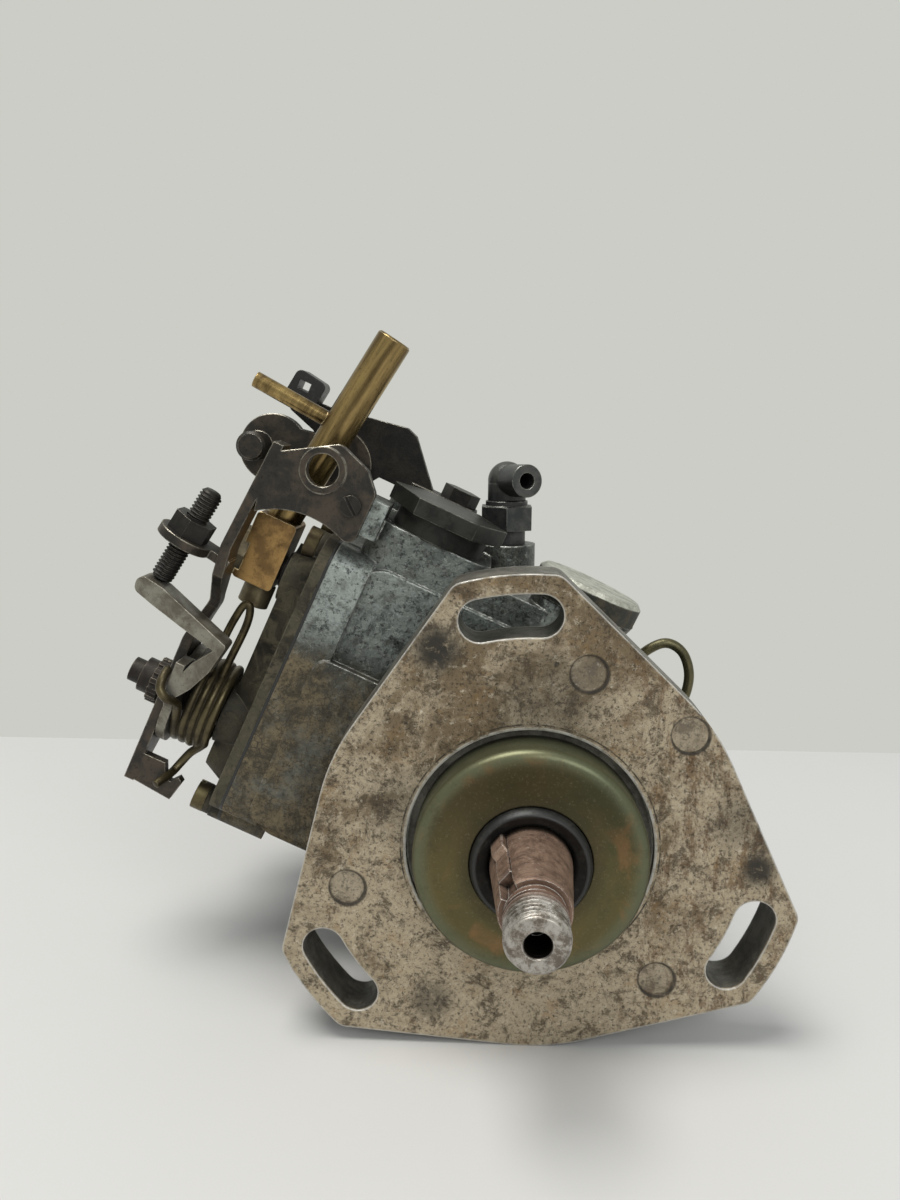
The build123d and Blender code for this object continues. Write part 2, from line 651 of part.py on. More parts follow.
with BuildPart() as advance_piston:
    turned(Plane(origin=(-15, advance_y, ADVANCE_Z), z_dir=(1, 0, 0)), (ADVANCE_BORE_R, 27))
    turned(Plane(origin=(-15, advance_y, ADVANCE_Z), z_dir=(1, 0, 0)), (4.6, 6), mode=Mode.SUBTRACT)
    turned(Plane(origin=(0, advance_y, ADVANCE_Z - 9)), (4.0, 18), mode=Mode.SUBTRACT)
advance_piston.part.label = "advance_piston"
export_step(lean(advance_piston.part), "parts/advance_piston.step")

with BuildPart() as advance_caps:
    turned(
        Plane(origin=(ADVANCE_LEFT, advance_y, ADVANCE_Z), z_dir=(-1, 0, 0)), (ADVANCE_CAP_R, 4), (7.5, 6)
    )
    turned(Plane(origin=(ADVANCE_LEFT + 4, advance_y, ADVANCE_Z), z_dir=(-1, 0, 0)), (ADVANCE_BORE_R, 4))
    hexagon(Plane(origin=(ADVANCE_RIGHT, advance_y, ADVANCE_Z), z_dir=(1, 0, 0)), 15, 4)
    turned(Plane(origin=(ADVANCE_RIGHT, advance_y, ADVANCE_Z), z_dir=(-1, 0, 0)), (ADVANCE_BORE_R, 3))
    turned(Plane(origin=(ADVANCE_LEFT + 4, advance_y, ADVANCE_Z), z_dir=(-1, 0, 0)), (5.6, 11), mode=Mode.SUBTRACT)
advance_caps.part.label = "advance_caps"
export_step(lean(advance_caps.part), "parts/advance_caps.step")

with BuildPart() as advance_spring:
    coil(Plane(origin=(-41.9, advance_y, ADVANCE_Z), z_dir=(1, 0, 0)), 3.6, 0.8, 31.8, 7)
advance_spring.part.label = "advance_spring"
export_step(lean(advance_spring.part), "parts/advance_spring.step")

with BuildPart() as advance_cap_nut:
    nut_seat = Plane(origin=(CAP_NUT_X, advance_y, CAP_NUT_SEAT), z_dir=(0, 0, -1))
    turned(nut_seat.offset(-1.8), (4.0, 1.8), (CAP_NUT_DOME_R, dome_at + CAP_NUT_SEAT))
    hexagon(nut_seat, 13, dome_at + CAP_NUT_SEAT - 0.8)
    with Locations((CAP_NUT_X, advance_y, -dome_at)):
        Sphere(CAP_NUT_DOME_R, arc_size2=0)
advance_cap_nut.part.label = "advance_cap_nut"
export_step(lean(advance_cap_nut.part), "parts/advance_cap_nut.step")

# ==== hydraulic head ======================================================================
outlet_turns = [OUTLET_FIRST + quarter for quarter in (0, 90, 180, 270)]
solenoid_seat = outward(SOLENOID_ANGLE, OUTLET_Y, HEAD_BODY_R - 1.5)

with BuildPart() as hydraulic_head:
    turned(
        rearward(0, HEAD_FRONT, 0),
        (BORE_R - 0.05, BARREL_END - HEAD_FRONT),
        (HEAD_FLANGE_R, HEAD_FLANGE_T),
        (HEAD_BODY_R, HEAD_END - BARREL_END - HEAD_FLANGE_T),
    )
    turned(rearward(0, HEAD_FRONT, 0), (ROTOR_R, HEAD_END), mode=Mode.SUBTRACT)
    for turn in outlet_turns:
        turned(outward(turn, OUTLET_Y, 18), (4.0, 6), (6.0, 20), mode=Mode.SUBTRACT)
    turned(outward(SOLENOID_ANGLE, OUTLET_Y, 20), (3.2, 6), (8.0, 20), mode=Mode.SUBTRACT)
    turned(solenoid_seat, (10.0, 8), mode=Mode.SUBTRACT)
    with BuildSketch(section(BARREL_END + HEAD_FLANGE_T)):
        with PolarLocations(HEAD_SCREW_AT, 4, HEAD_SCREW_FIRST):
            Circle(HEAD_SCREW_R)
    extrude(amount=HEAD_FLANGE_T, mode=Mode.SUBTRACT)
    for turn in end_screw_turns:
        x, z = polar(END_SCREW_AT, turn)
        turned(rearward(x, HEAD_END - END_SCREW_BITE, z), (END_SCREW_R, 20), mode=Mode.SUBTRACT)
    turned(sideways(-14, METERING_Y, METERING_Z), (METERING_R + RUN, 16), mode=Mode.SUBTRACT)
hydraulic_head.part.label = "hydraulic_head"
export_step(lean(hydraulic_head.part), "parts/hydraulic_head.step")

with BuildPart() as metering_valve:
    valve_end = link_x - 2.3
    turned(sideways(-15, METERING_Y, METERING_Z), (METERING_R, 16), (2.4, -31 - valve_end))
    with BuildSketch(Plane.YZ.offset(valve_end - 2.2)):
        with BuildLine():
            Line((METERING_Y, METERING_Z), (link_eye_y, 0))
        trace(line_width=5.6)
    extrude(amount=2.2)
    turned(sideways(link_x + 1.3, link_eye_y, 0), (LINK_R, 3.7))
metering_valve.part.label = "metering_valve"
export_step(lean(metering_valve.part), "parts/metering_valve.step")

with BuildPart() as delivery_valve_holders:
    for turn in outlet_turns:
        seat = outward(turn, OUTLET_Y, 25.2)
        turned(seat, (5.95, HEAD_BODY_R - 25.2 + 0.2))
        hexagon(seat.offset(HEAD_BODY_R - 25.2 + 0.2), 13, 7)
        turned(seat.offset(HEAD_BODY_R - 25.2 + 7.2), (6.0, OUTLET_TIP - HEAD_BODY_R - 7.2))
        turned(seat, (3.0, 10), (1.2, 20), mode=Mode.SUBTRACT)
delivery_valve_holders.part.label = "delivery_valve_holders"
export_step(lean(delivery_valve_holders.part), "parts/delivery_valve_holders.step")

with BuildPart() as delivery_valves:
    for turn in outlet_turns:
        turned(outward(turn, OUTLET_Y, 20.0), (3.6, 4.0), (2.4, 4.0))
delivery_valves.part.label = "delivery_valves"
export_step(lean(delivery_valves.part), "parts/delivery_valves.step")

with BuildPart() as stop_solenoid:
    turned(solenoid_seat.offset(-3.5), (7.95, 3.5))
    hexagon(solenoid_seat.offset(1.6), 17, 5)
    turned(solenoid_seat.offset(0), (9.3, 1.6))
    turned(solenoid_seat.offset(6.6), (9.3, 14))
    turned(solenoid_seat.offset(20.6), (3.0, SOLENOID_TIP - HEAD_BODY_R + 1.5 - 20.6))
    turned(solenoid_seat.offset(-7.5), (3.2, 22), mode=Mode.SUBTRACT)
stop_solenoid.part.label = "stop_solenoid"
export_step(lean(stop_solenoid.part), "parts/stop_solenoid.step")

with BuildPart() as solenoid_plunger:
    turned(solenoid_seat.offset(-7.5), (3.2 - RUN, 17))
solenoid_plunger.part.label = "solenoid_plunger"
export_step(lean(solenoid_plunger.part), "parts/solenoid_plunger.step")

# ==== transfer pump and end plate =========================================================
vane_shift = 1.4
transfer_r = 12.6

with BuildPart() as transfer_pump_liner:
    turned(rearward(0, HEAD_END, 0), (LINER_R, LINER_L))
    turned(rearward(vane_shift, HEAD_END, 0), (transfer_r + vane_shift + 0.1, LINER_L), mode=Mode.SUBTRACT)
transfer_pump_liner.part.label = "transfer_pump_liner"
export_step(lean(transfer_pump_liner.part), "parts/transfer_pump_liner.step")

with BuildPart() as transfer_pump_rotor:
    turned(rearward(0, HEAD_END + 0.15, 0), (transfer_r, LINER_L - 0.3))
    turned(rearward(0, HEAD_END, 0), (6.0, LINER_L - 1), mode=Mode.SUBTRACT)
    with BuildSketch(section(HEAD_END + LINER_L)):
        for turn in (0, 90):
            with Locations(Rot(0, 0, turn) * Pos(9.8, 0), Rot(0, 0, turn + 180) * Pos(9.8, 0)):
                Rectangle(6.2, 2.1)
    extrude(amount=LINER_L, mode=Mode.SUBTRACT)
transfer_pump_rotor.part.label = "transfer_pump_rotor"
export_step(lean(transfer_pump_rotor.part), "parts/transfer_pump_rotor.step")

with BuildPart() as transfer_pump_vanes:
    with BuildSketch(section(HEAD_END + LINER_L - 0.15)):
        with PolarLocations(9.8, 4):
            Rectangle(5.0, 2.0)
    extrude(amount=LINER_L - 0.3)
transfer_pump_vanes.part.label = "transfer_pump_vanes"
export_step(lean(transfer_pump_vanes.part), "parts/transfer_pump_vanes.step")

inlet_y = HEAD_END + END_PLATE_T / 2
inlet_seat = outward(INLET_ANGLE, inlet_y, END_PLATE_R + 1)
inlet_fall = radians(LEAN - INLET_ANGLE)
inlet_tip = (BULGE_R - INLET_R * cos(inlet_fall)) / sin(inlet_fall)

with BuildPart() as end_plate:
    turned(rearward(0, HEAD_END, 0), (END_PLATE_R, END_PLATE_T))
    turned(inlet_seat.offset(-8), (8.0, 8))
    turned(rearward(0, HEAD_END, 0), (LINER_R, LINER_L), mode=Mode.SUBTRACT)
    with BuildSketch(section(HEAD_END + END_PLATE_T)):
        with PolarLocations(END_SCREW_AT, 4, END_SCREW_FIRST):
            Circle(END_SCREW_R)
    extrude(amount=END_PLATE_T, mode=Mode.SUBTRACT)
    turned(inlet_seat.offset(-6), (5.5, 8), mode=Mode.SUBTRACT)
    turned(outward(INLET_ANGLE, inlet_y + 1.5, 3), (2.5, END_PLATE_R), mode=Mode.SUBTRACT)
    turned(rearward(0, HEAD_END + LINER_L, 0), (4.0, 20), mode=Mode.SUBTRACT)
end_plate.part.label = "end_plate"
export_step(lean(end_plate.part), "parts/end_plate.step")

with BuildPart() as head_and_end_screws:
    for turn in head_screw_turns:
        x, z = polar(HEAD_SCREW_AT, turn)
        turned(rearward(x, BARREL_END + HEAD_FLANGE_T, z), (4.2, 5.0))
        turned(rearward(x, BARREL_END - HEAD_SCREW_BITE, z), (HEAD_SCREW_R, HEAD_FLANGE_T + HEAD_SCREW_BITE))
        hexagon(rearward(x, BARREL_END + HEAD_FLANGE_T + 2, z), 4.0, 4, mode=Mode.SUBTRACT)
    for turn in end_screw_turns:
        x, z = polar(END_SCREW_AT, turn)
        turned(rearward(x, HEAD_END - END_SCREW_BITE, z), (END_SCREW_R, END_PLATE_T + END_SCREW_BITE), (4.0, 4.2))
        hexagon(rearward(x, HEAD_END + END_PLATE_T + 1.8, z), 3.6, 4, mode=Mode.SUBTRACT)
head_and_end_screws.part.label = "head_and_end_screws"
export_step(lean(head_and_end_screws.part), "parts/head_and_end_screws.step")

with BuildPart() as regulating_valve:
    turned(rearward(0, HEAD_END + LINER_L + 0.3, 0), (3.96, END_PLATE_T - LINER_L - 0.3))
    hexagon(rearward(0, HEAD_END + END_PLATE_T, 0), 14, 5)
    turned(rearward(0, HEAD_END + END_PLATE_T + 5, 0), (4.5, 5))
regulating_valve.part.label = "regulating_valve"
export_step(lean(regulating_valve.part), "parts/regulating_valve.step")

with BuildPart() as inlet_union:
    turned(inlet_seat.offset(-6), (5.45, 6))
    hexagon(inlet_seat, 15, 7)
    turned(inlet_seat.offset(7), (INLET_R, inlet_tip - END_PLATE_R - 8))
    turned(inlet_seat.offset(-6), (3.2, 60), mode=Mode.SUBTRACT)
inlet_union.part.label = "inlet_union"
export_step(lean(inlet_union.part), "parts/inlet_union.step")

# ==== governor cover ======================================================================
cover_face = JOINT_X - GASKET_T


def cover_outline():
    """The cover's outline in its own plane: the rim of the governor box with its screw ears."""
    with BuildSketch() as outline:
        with Locations(((BOX_FRONT + BOX_BACK) / 2, (BOX_TOP + BOX_BOTTOM) / 2)):
            RectangleRounded(
                BOX_BACK - BOX_FRONT + 2 * RIM_PROUD, BOX_TOP - BOX_BOTTOM + 2 * RIM_PROUD - 2, BOX_CORNER
            )
        with Locations(cover_ears):
            Circle(COVER_SCREW_R)
    return outline.sketch


with BuildPart() as side_cover_gasket:
    with BuildSketch(Plane.YZ.offset(cover_face)):
        add(cover_outline())
        with Locations(cavity_middle):
            RectangleRounded(*cavity_size, 5, mode=Mode.SUBTRACT)
        with Locations(cover_ears):
            Circle(COVER_SCREW_SHANK, mode=Mode.SUBTRACT)
    extrude(amount=GASKET_T)
side_cover_gasket.part.label = "side_cover_gasket"
export_step(lean(side_cover_gasket.part), "parts/side_cover_gasket.step")

with BuildPart() as side_cover:
    with BuildSketch(Plane.YZ.offset(cover_face)):
        add(cover_outline())
    extrude(amount=-3.0)
    # domed middle with drafted sides
    with BuildSketch(Plane.YZ.offset(cover_face - 2.5)) as dome:
        with Locations(((BOX_FRONT + BOX_BACK) / 2 + 1, (BOX_TOP + BOX_BOTTOM) / 2)):
            RectangleRounded(
                BOX_BACK - BOX_FRONT - 6, BOX_TOP - BOX_BOTTOM - 7, BOX_CORNER
            )
    extrude(amount=-(COVER_T - 2.5), taper=26)
    # bosses of the two lever spindles
    turned(sideways(cover_face - 3, SPINDLE_Y, SPINDLE_Z), (9.0, COVER_T - 2.2))
    turned(sideways(cover_face - 3, STOP_Y, STOP_Z), (8.5, COVER_T - 2.2))
    for y, z in cover_ears:
        turned(sideways(cover_face - 2.6, y, z), (COVER_SCREW_R - 0.3, 2.4))
    # hollow side, bores of the spindles and of the cover screws
    with BuildSketch(Plane.YZ.offset(cover_face)):
        with Locations(cavity_middle):
            RectangleRounded(cavity_size[0] - 4, cavity_size[1] - 4, 4)
    extrude(amount=-4.5, mode=Mode.SUBTRACT)
    for y, z in cover_ears:
        turned(sideways(cover_face, y, z), (COVER_SCREW_SHANK, 12), mode=Mode.SUBTRACT)
        turned(sideways(cover_face - 5, y, z), (4.6, 12), mode=Mode.SUBTRACT)
    turned(sideways(cover_face, SPINDLE_Y, SPINDLE_Z), (SPINDLE_R + RUN, 20), mode=Mode.SUBTRACT)
    turned(sideways(cover_face, STOP_Y, STOP_Z), (SPINDLE_R + RUN, 20), mode=Mode.SUBTRACT)
side_cover.part.label = "side_cover"
export_step(lean(side_cover.part), "parts/side_cover.step")

with BuildPart() as side_cover_screws:
    for y, z in cover_ears:
        head = sideways(cover_face - 5, y, z)
        turned(head, (4.2, 3.6))
        turned(sideways(JOINT_X + COVER_SCREW_BITE, y, z), (COVER_SCREW_SHANK, COVER_SCREW_BITE + GASKET_T + 5))
        with BuildSketch(head.offset(3.6)):
            Rectangle(1.2, 9)
        extrude(amount=-1.4, mode=Mode.SUBTRACT)
side_cover_screws.part.label = "side_cover_screws"
export_step(lean(side_cover_screws.part), "parts/side_cover_screws.step")

# ==== pieces on top of the housing ========================================================
plug_seat = Plane(origin=(PLUG_X, PLUG_Y, DECK_TOP))
with BuildPart() as inspection_plug:
    turned(plug_seat.offset(-10), (PLUG_THREAD_R - 0.02, 10), (PLUG_COLLAR_R, PLUG_COLLAR_T))
    hexagon(plug_seat.offset(PLUG_COLLAR_T), PLUG_AF, PLUG_HEX_T)
inspection_plug.part.label = "inspection_plug"
export_step(lean(inspection_plug.part), "parts/inspection_plug.step")

with BuildPart() as top_cap:
    turned(Plane(origin=(CAP_X, CAP_Y, CAP_BASE)), (CAP_R - 1.0, 1.4), (CAP_R, CAP_T - 1.4))
    chamfer(top_cap.faces().sort_by(Axis.Z)[-1].edges(), 1.2)
top_cap.part.label = "top_cap"
export_step(lean(top_cap.part), "parts/top_cap.step")

with BuildPart() as return_union:
    turned(union_seat.offset(-6), (4.3, 6), (5.6, 4.2))
    hexagon(union_seat.offset(4.2), UNION_AF, 7.0)
    turned(union_seat.offset(11.2), (6.2, 1.5), (3.4, 7.0))
return_union.part.label = "return_union"
export_step(lean(return_union.part), "parts/return_union.step")

knuckle = union_seat.origin + union_seat.z_dir * 18.6
spout_x, spout_z = upright(0.42, 0.04)
spout = Plane(origin=knuckle, z_dir=(spout_x, -0.9, spout_z))
with BuildPart() as return_elbow:
    turned(union_seat.offset(12.8), (ELBOW_R + 0.9, 5))
    with Locations(knuckle):
        Sphere(ELBOW_R + 0.9)
    turned(spout, (ELBOW_R, 13))
    turned(union_seat.offset(12.7), (3.4, 7.0), mode=Mode.SUBTRACT)
    turned(spout.offset(3.6), (ELBOW_BORE, 12), mode=Mode.SUBTRACT)
return_elbow.part.label = "return_elbow"
export_step(lean(return_elbow.part), "parts/return_elbow.step")

clip_route = [upright(*place) for place in ((28, 17), (26, 33), (39.5, 40.5), (45.3, 32), (42, 18), (28, 12))]
with BuildPart() as wire_clip:
    with BuildLine(section(CLIP_Y)) as clip_line:
        FilletPolyline(*clip_route, radius=5)
    with BuildSketch(Plane(origin=clip_line.line @ 0, z_dir=clip_line.line % 0)):
        Circle(CLIP_WIRE_R)
    sweep(path=clip_line.line)
    turned(rearward(0, FLANGE_T, 0), (BARREL_R, 80), mode=Mode.SUBTRACT)
wire_clip.part.label = "wire_clip"
export_step(lean(wire_clip.part), "parts/wire_clip.step")

# ==== throttle bracket ====================================================================
screw_way = (sin(radians(SCREW_LEAN)), 0, cos(radians(SCREW_LEAN)))
screw_foot = Vector(-112.56, SCREW_Y, 14.54)  # where it meets the top of the throttle arm
screw_plane = Plane(origin=screw_foot, x_dir=(0, 1, 0), z_dir=screw_way)
ear_plane = screw_plane.offset(11.7)

with BuildPart() as throttle_bracket:
    # strip, joggled towards the cover in its middle, trimmed to its outline
    with BuildSketch(section(27)):
        with BuildLine():
            FilletPolyline((-97.8, 61), (-100.0, 30), (-98.2, 14), (STRIP_X, 1), (STRIP_X, -44), radius=5)
        trace(line_width=SHEET)
    extrude(amount=-22)
    with BuildSketch(Plane.YZ.offset(-112)):
        with BuildLine():
            Polyline(
                (27, 60), (27, 22), (34, 12), (34, -43), (41, -43), (50, -28), (54, -17), (48, -4), (40, 8),
                (36.5, 16), (36.5, 60), close=True,
            )
        make_face()
    extrude(amount=20, mode=Mode.INTERSECT)
    # front plate for the cable
    with BuildSketch(section(27 + SHEET)) as plate_outline:
        with BuildLine():
            Polyline((-97, 41.5), (-99.2, 57), (-83.4, 66.6), (-74.5, 63.4), (-70.2, 58.6), (-70.4, 42.7))
            ThreePointArc((-70.4, 42.7), (-85, 46.2), (-97, 41.5))
        make_face()
        fillet(plate_outline.vertices().filter_by(lambda v: v.X > -90), 2.4)
    extrude(amount=SHEET)
    with BuildSketch(section(27)):
        with Locations((-85.0, 58.6)):
            Circle(6.0)
    extrude(amount=0.7)
    with BuildSketch(section(30)):
        with Locations((-85.0, 58.6)):
            Circle(4.2)
        with Locations((bracket_screw_at[0], bracket_screw_at[2])):
            Circle(BRACKET_SCREW_R)
    extrude(amount=5, mode=Mode.SUBTRACT)
    # ear that carries the stop screw
    with BuildSketch(ear_plane):
        Circle(7.2)
        with Locations((3.5, -6.5)):
            Rectangle(7.4, 13)
    extrude(amount=2.4)
    turned(screw_plane, (SCREW_R + 0.02, 40), mode=Mode.SUBTRACT)
    # tab that anchors the spring, with its open slot
    with BuildSketch(section(34 + SHEET)):
        with BuildLine():
            Polyline(
                (-102.6, -34.4), (-93.6, -34.4), (-91.8, -38.6), (-90.2, -38.8), (-88.6, -36.8),
                (-87.2, -37.8), (-88.6, -43.8), (-102.6, -42.4), close=True,
            )
        make_face()
    extrude(amount=SHEET)
    turned(sideways(-90, SPINDLE_Y, SPINDLE_Z), (3.6, 30), mode=Mode.SUBTRACT)
throttle_bracket.part.label = "throttle_bracket"
export_step(lean(throttle_bracket.part), "parts/throttle_bracket.step")

with BuildPart() as stop_screw:
    turned(screw_plane.offset(0.3), (SCREW_R - 0.6, 0.8), (SCREW_R, 25.6), (SCREW_R - 0.6, 0.8))
stop_screw.part.label = "stop_screw"
export_step(lean(stop_screw.part), "parts/stop_screw.step")

with BuildPart() as stop_screw_locknut:
    hexagon(screw_plane.offset(14.1), 10, 5)
    turned(screw_plane, (SCREW_R + 0.02, 40), mode=Mode.SUBTRACT)
stop_screw_locknut.part.label = "stop_screw_locknut"
export_step(lean(stop_screw_locknut.part), "parts/stop_screw_locknut.step")

# ==== throttle lever ======================================================================
spindle_end = -114.0
with BuildPart() as throttle_spindle:
    turned(
        sideways(-66, SPINDLE_Y, SPINDLE_Z),
        (6.5, 3.0),
        (SPINDLE_R, -LEVER_X - LEVER_T - 69.0),
        (SPINDLE_R - 0.8, LEVER_T + 0.2),
        (3.5, LEVER_X - 0.2 - spindle_end),
    )
    # crank pin that loads the governor spring
    turned(crank_pin, (CRANK_PIN_R, 7.5))
throttle_spindle.part.label = "throttle_spindle"
export_step(lean(throttle_spindle.part), "parts/throttle_spindle.step")

with BuildPart() as throttle_lever:
    # round root on the spindle, with the neck that reaches forward to the arm
    with BuildSketch(Plane.YZ.offset(LEVER_X)):
        with Locations((SPINDLE_Y, SPINDLE_Z)):
            Circle(LEVER_ROOT_R)
        with BuildLine():
            Polyline(
                (ARM_FRONT, -2.5), (ARM_FRONT, -11), (26, -14), (33, -21), (44, -17), (40, -6), (31, -2.5),
                close=True,
            )
        make_face()
    extrude(amount=LEVER_T)
    # cranked arm: its web rises beside the bracket, and its end stops the screw
    with BuildSketch(section(ARM_FRONT + ARM_W)) as arm_profile:
        with BuildLine():
            Polyline(
                (-99.4, -11.0), (-95.7, -1.3), (-91.8, 4.4), (-101.7, 6.6), (-111.2, 9.0), (-116.6, 10.6),
                (-117.2, 15.2), (-109.8, 14.1), (-89.0, 6.8), (-90.6, -1.5), (-93.4, -7.8), (-96.0, -11.4),
                close=True,
            )
        make_face()
        fillet(arm_profile.vertices().filter_by(lambda v: v.X < -114), 2.0)
        fillet(arm_profile.vertices().filter_by(lambda v: v.X > -89.5), 1.0)
    extrude(amount=ARM_W)
    turned(sideways(-90, SPINDLE_Y, SPINDLE_Z), (SPINDLE_R - 0.8, 30), mode=Mode.SUBTRACT)
throttle_lever.part.label = "throttle_lever"
export_step(lean(throttle_lever.part), "parts/throttle_lever.step")

knob_start = STRIP_X - SHEET / 2 - AIR
with BuildPart() as spindle_nut:
    turned(sideways(knob_start, SPINDLE_Y, SPINDLE_Z), (5.2, 1.2), (6.6, 3.0), (5.0, 3.4))
    with BuildSketch(sideways(knob_start - 1.2, SPINDLE_Y, SPINDLE_Z)):
        with PolarLocations(6.6, 14):
            Circle(0.75)
    extrude(amount=3.0, mode=Mode.SUBTRACT)
    turned(sideways(knob_start, SPINDLE_Y, SPINDLE_Z), (3.5, 20), mode=Mode.SUBTRACT)
spindle_nut.part.label = "spindle_nut"
export_step(lean(spindle_nut.part), "parts/spindle_nut.step")

coil_start_x = cover_face - COVER_T - COIL_WIRE_R - AIR
coil_end_x = LEVER_X + LEVER_T + COIL_WIRE_R + AIR
with BuildPart() as throttle_return_spring:
    coil_foot = sideways(coil_start_x, SPINDLE_Y, SPINDLE_Z)
    coil(coil_foot, COIL_R, COIL_WIRE_R, coil_start_x - coil_end_x, COIL_TURNS)
throttle_return_spring.part.label = "throttle_return_spring"
export_step(lean(throttle_return_spring.part), "parts/throttle_return_spring.step")

# ==== stop lever ==========================================================================
rod_way = (sin(radians(ROD_LEAN)), 0, cos(radians(ROD_LEAN)))
hub_middle = Vector(-92.4, STOP_Y, STOP_Z + HUB_RISE)
rod_plane = Plane(origin=(-92.0 - ROD_SHIFT, STOP_Y, STOP_Z), x_dir=(0, 1, 0), z_dir=rod_way)
rod_length = (ROD_TOP - STOP_Z) / cos(radians(ROD_LEAN))
rod_foot = 10.0  # how far above the spindle's axis the rod is seated in the hub

with BuildPart() as stop_lever_spindle:
    turned(sideways(-68, STOP_Y, STOP_Z), (7.0, 3.0), (SPINDLE_R, 15.2), (3.5, 18.0))
stop_lever_spindle.part.label = "stop_lever_spindle"
export_step(lean(stop_lever_spindle.part), "parts/stop_lever_spindle.step")

with BuildPart() as stop_lever_hub:
    with BuildSketch(section(2 * STOP_Y - HUB_FRONT)):
        with Locations((hub_middle.X, hub_middle.Z)):
            RectangleRounded(HUB_W, HUB_L, 1.2)
    extrude(amount=2 * (STOP_Y - HUB_FRONT))
    turned(rod_plane.offset(rod_foot), (ROD_R + RUN, 20), mode=Mode.SUBTRACT)
    turned(sideways(-80, STOP_Y, STOP_Z), (3.5, 30), mode=Mode.SUBTRACT)
    turned(sideways(-80, STOP_Y, STOP_Z), (8.0, 6.2), mode=Mode.SUBTRACT)
    turned(sideways(-96.8, STOP_Y, STOP_Z), (8.0, 4), mode=Mode.SUBTRACT)
stop_lever_hub.part.label = "stop_lever_hub"
export_step(lean(stop_lever_hub.part), "parts/stop_lever_hub.step")

pin_root = rod_plane.origin + Vector(*rod_way) * 42.6
with BuildPart() as stop_lever_rod:
    turned(rod_plane.offset(rod_foot), (ROD_R, rod_length - rod_foot))
    chamfer(stop_lever_rod.edges().filter_by(GeomType.CIRCLE).sort_by(Axis.Z)[-1], 0.5)
    # cross pin for the cable
    turned(Plane(origin=pin_root, z_dir=(-0.997, 0, 0.075)), (PIN_R, 26.0))
stop_lever_rod.part.label = "stop_lever_rod"
export_step(lean(stop_lever_rod.part), "parts/stop_lever_rod.step")

with BuildPart() as spring_collar:
    turned(Plane(origin=hub_middle + Vector(1.6, 0, -HUB_L / 2), z_dir=(0, 0, -1)), (4.3, 6.4))
spring_collar.part.label = "spring_collar"
export_step(lean(spring_collar.part), "parts/spring_collar.step")

with BuildPart() as stop_lever_nut:
    hexagon(sideways(-96.8, STOP_Y, STOP_Z), 13, 5.5)
    turned(sideways(-96.8, STOP_Y, STOP_Z), (3.5, 20), mode=Mode.SUBTRACT)
stop_lever_nut.part.label = "stop_lever_nut"
export_step(lean(stop_lever_nut.part), "parts/stop_lever_nut.step")

# ==== rear bracket and idle lever =========================================================
rear_bolt = Plane(origin=(REAR_BOLT_X, REAR_BOLT_Y, TOWER_TOP))

with BuildPart() as rear_bracket:
    with BuildSketch(section(REAR_Y + SHEET)) as rear_plate:
        with BuildLine():
            Polyline(
                (-96, 48), (-98, 63), (-107.5, 66), (-107.5, 71), (-97, 71.4), (-73, 75.6), (-69.6, 74.4),
                (-57.4, 60.5), (-57.4, TOWER_TOP), (-75, TOWER_TOP), (-84, 46), close=True,
            )
        make_face()
        fillet(rear_plate.vertices().filter_by(lambda v: v.Y > 60 or v.X < -90), 1.2)
    extrude(amount=SHEET)
    with BuildSketch(Plane.XY.offset(TOWER_TOP)):
        with Locations((-55, REAR_Y + 5)):
            RectangleRounded(22, 11, 2)
    extrude(amount=SHEET)
    turned(rearward(REAR_PIVOT_X, REAR_Y - 5.5, REAR_PIVOT_Z), (4.5, 6))
    turned(rear_bolt, (2.5, 10), mode=Mode.SUBTRACT)
rear_bracket.part.label = "rear_bracket"
export_step(lean(rear_bracket.part), "parts/rear_bracket.step")

with BuildPart() as bracket_fasteners:
    # slotted screw of the front bracket
    screw_x, screw_back, screw_z = bracket_screw_at
    turned(rearward(screw_x, screw_back - SHEET, screw_z), (BRACKET_SCREW_R, SHEET + 8))
    turned(rearward(screw_x, screw_back - SHEET - 1.6, screw_z), (2.7, 1.6))
    with BuildSketch(section(screw_back - SHEET - 1.6)):
        with Locations((screw_x, screw_z)):
            Rectangle(0.8, 6, rotation=50)
    extrude(amount=-0.8, mode=Mode.SUBTRACT)
    # bolt of the rear bracket
    turned(rear_bolt.offset(-6), (2.5, 6 + SHEET))
    hexagon(rear_bolt.offset(SHEET), 10, 4)
bracket_fasteners.part.label = "bracket_fasteners"
export_step(lean(bracket_fasteners.part), "parts/bracket_fasteners.step")

with BuildPart() as idle_lever:
    with BuildSketch(section(REAR_Y - 1)):
        with BuildLine():
            Line((REAR_EYE_X, REAR_EYE_Z), (REAR_PIVOT_X, REAR_PIVOT_Z))
        trace(line_width=15)
        with Locations((REAR_EYE_X, REAR_EYE_Z)):
            Circle(REAR_EYE_R)
        with Locations((REAR_PIVOT_X, REAR_PIVOT_Z)):
            Circle(10.8)
    extrude(amount=3.5)
    turned(rearward(REAR_PIVOT_X, REAR_Y - 20, REAR_PIVOT_Z), (4.5 + RUN, 30), mode=Mode.SUBTRACT)
    turned(rearward(REAR_STUD_X, REAR_Y - 14.5, REAR_STUD_Z), (4.2, 11))
    chamfer(idle_lever.faces().sort_by(Axis.Y)[0].edges(), 0.7)
idle_lever.part.label = "idle_lever"
export_step(lean(idle_lever.part), "parts/idle_lever.step")

